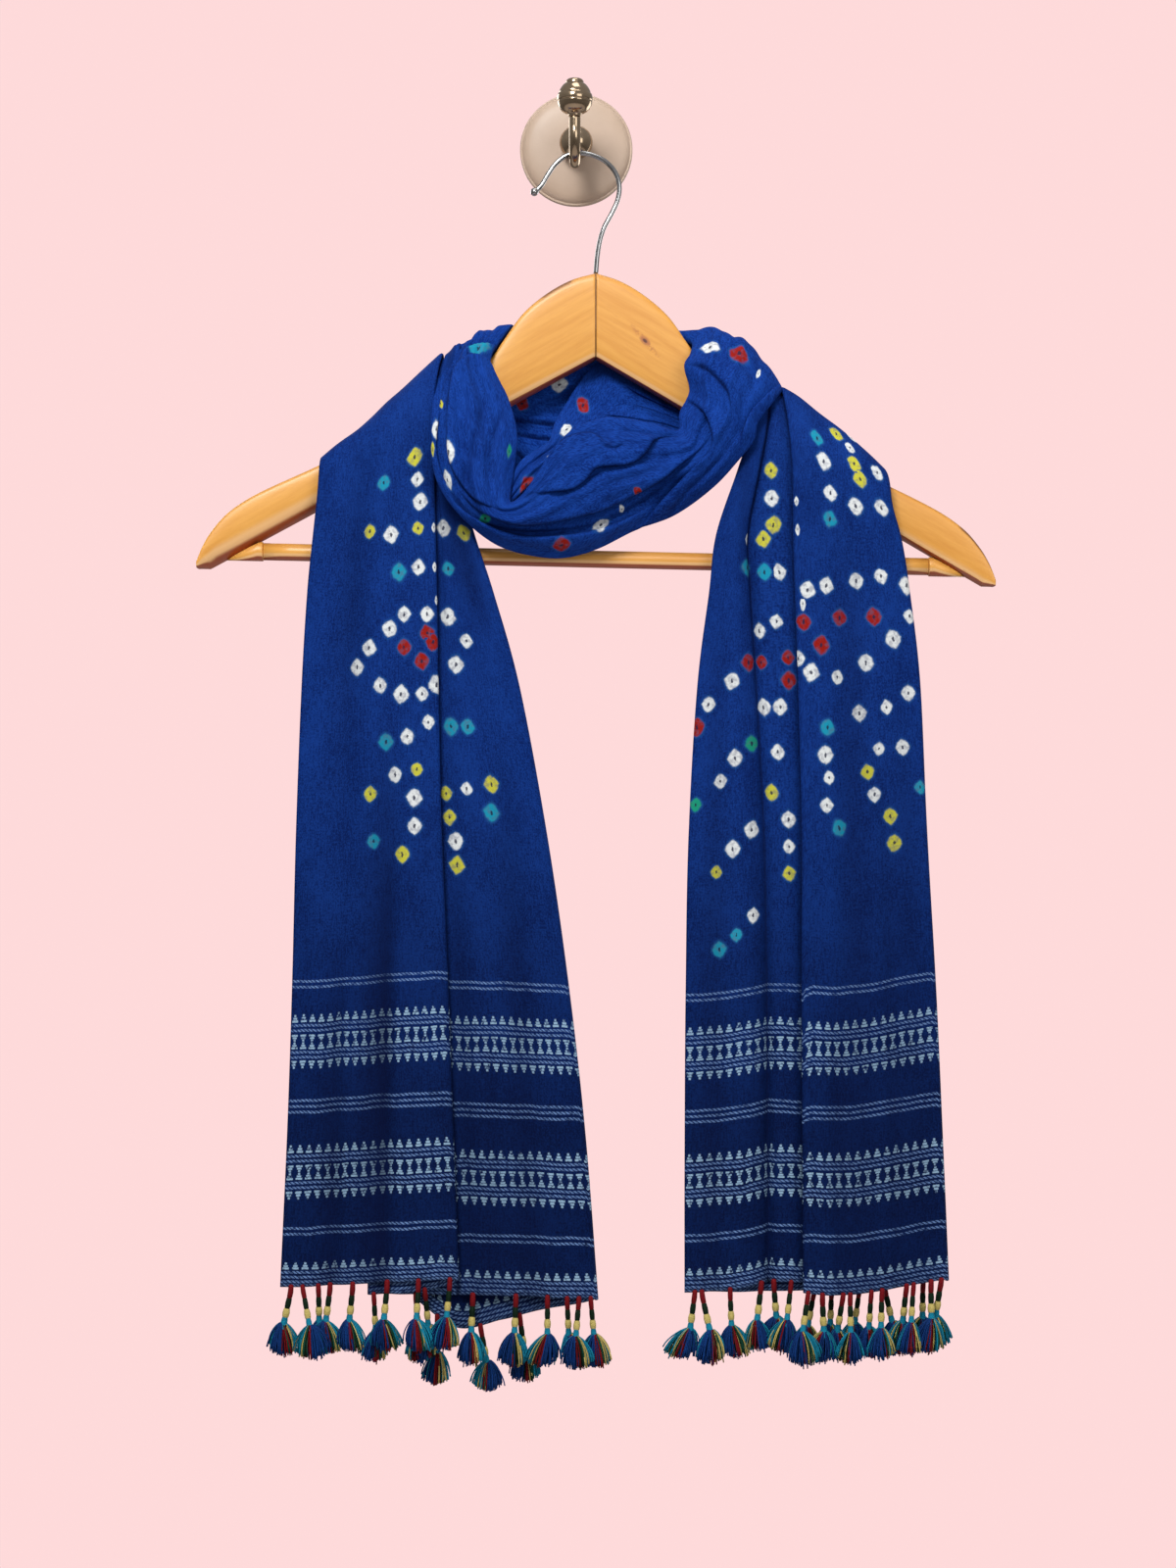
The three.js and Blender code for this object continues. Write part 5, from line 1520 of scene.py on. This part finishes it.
def tubes(paths, radius, sides, colours):
    """Points, faces and point colours of many closed tubes; paths is (tubes, rings, 3)."""
    count, rings = paths.shape[:2]
    points = swept(paths, radius, (0.0, 1.0, 0.0), sides).reshape(-1, 3)
    starts = np.arange(count)[:, None, None] * rings * sides
    quads = ring_skin(rings, sides)[:, [0, 3, 2, 1]] + starts
    ring = np.arange(sides)
    caps = np.stack([ring, ring[::-1] + (rings - 1) * sides]) + starts
    faces = [*quads.reshape(-1, 4).tolist(), *caps.reshape(-1, sides).tolist()]
    return points, faces, np.repeat(colours.reshape(-1, 3), sides, axis=0)


def cord_of(top, swing, near, random):
    """Path and radii of a tassel's cord in mm: its upper end is tucked in behind the hem."""
    lean = np.clip(CORD_DOWN / TASSEL_LENGTH / SWUNG_OUT, 0, 1)
    behind = TUCKED * np.clip(1 - CORD_DOWN / TUCKED_AS_FAR_AS, 0, 1)
    down = -CORD_BELOW_HEM - CORD_DOWN
    path = top + np.stack([swing * lean, -near * lean - behind, down], -1)
    return path, CORD_GIRTH * random.uniform(0.92, 1.06)


def skirt_of(top, swing, near, random):
    """Paths and colours of a tassel's threads, in mm: from the knot they flare by a quarter of
    a sine, and fall a little less at the sides. Neighbours mostly share a colour."""
    share = (np.arange(THREADS) + 0.5) / THREADS
    order = 1 - share if random.random() < 0.5 else share
    mixed = np.clip(order + random.normal(0, 0.03, THREADS) + random.normal(0, 0.06), 0, 0.999)
    dye = SHARE_DYES[np.searchsorted(SHARE_ENDS, mixed)] * random.uniform(0.55, 1.2, (THREADS, 1))
    spread, skew = random.uniform(4.8, 7.2), random.normal(0, 1.6)
    angle = random.uniform(0, 2 * np.pi, THREADS)
    side = (share * 2 - 1) + random.normal(0, 0.11, THREADS)
    clumps = 0.8 * np.sin(share * random.uniform(24, 34) + random.uniform(0, 6))
    length = random.uniform(15.5, 18.0) + random.normal(0, 0.8, THREADS) + clumps
    sway = random.normal(0, 0.8, (THREADS, 1))

    t = np.linspace(0, 1, THREAD_RINGS)[None, :]
    flare = np.sin(t * np.pi / 2) ** 0.9
    x = side[:, None] * (1.4 + spread * flare) + (0.4 * clumps[:, None] + skew) * t
    depth = np.sqrt(np.clip(1 - side**2, 0.1, 1))
    y = np.sin(angle)[:, None] * (1.3 + 2.6 * flare) * depth[:, None]
    z = -(t**1.15) * (length * (1 - 0.17 * side**2))[:, None]
    knot = top + np.array([swing, -near, -CORD_BELOW_HEM - KNOT_DOWN])
    return knot + np.stack([x + sway * t**2, y, z], -1), dye

# %% Both rows of tassels
def tassel_row(side, grid, owner, layer_names, table, seed):
    """All tassels of one hem as one piece that stands for its nodes."""
    random = np.random.default_rng(seed)
    hem = grid[-1] / MM
    tassels = []
    for x, swing, near, layer in table:
        here = owner == layer_names[layer]
        top = hem[np.where(here, np.abs(hem[:, 0] - x), np.inf).argmin()]
        tassels.append((*cord_of(top, swing, near, random), *skirt_of(top, swing, near, random)))
    cords, girths, skirts, dyes = (np.array(parts) for parts in zip(*tassels))
    skirts = skirts.reshape(-1, THREAD_RINGS, 3)
    thread_dyes = np.repeat(dyes.reshape(-1, 3), THREAD_RINGS, axis=0)
    points, faces, dyes = tubes(
        cords * MM, girths * MM, CORD_SIDES, np.tile(CORD_DYES, (len(table), 1))
    )
    more_points, more_faces, more_dyes = tubes(
        skirts * MM, THREAD_RADIUS * MM, THREAD_SIDES, thread_dyes
    )
    faces += [[corner + len(points) for corner in face] for face in more_faces]
    points, dyes = np.concatenate([points, more_points]), np.concatenate([dyes, more_dyes])
    piece = new_piece(f"tassels_{side}", points, faces, thread_look)
    dyes = np.concatenate([dyes, np.ones((len(dyes), 1))], -1)
    note(piece, "thread_colour", "FLOAT_COLOR", "POINT", dyes)
    stands_for(piece, "tassel", *[f"tassel_{side}_{k + 1:02d}" for k in range(len(table))])


thread_look = Graph("tassel_thread", Roughness=0.7, Specular_IOR_Level=0.12)
dyed = thread_look.add("ShaderNodeAttribute", attribute_name="thread_colour")
flock = thread_look.noise(thread_look.here(), 900, 2)
faint = thread_look.mix(1.0, dyed, colour(0.45, 0.45, 0.45), "MULTIPLY")
thread_look.feed("Base Color", thread_look.mix(flock * 0.5, dyed, faint))
wraps = thread_look.noise(thread_look.stretched(thread_look.here(), (200, 200, 2600)), 1, 1)
thread_look.bump(wraps, 0.0003, 0.8)

tassel_row("left", left_grid, left_layers, LAYERS_LEFT, TASSELS_LEFT, 51)
tassel_row("right", right_grid, right_layers, LAYERS_RIGHT, TASSELS_RIGHT, 52)
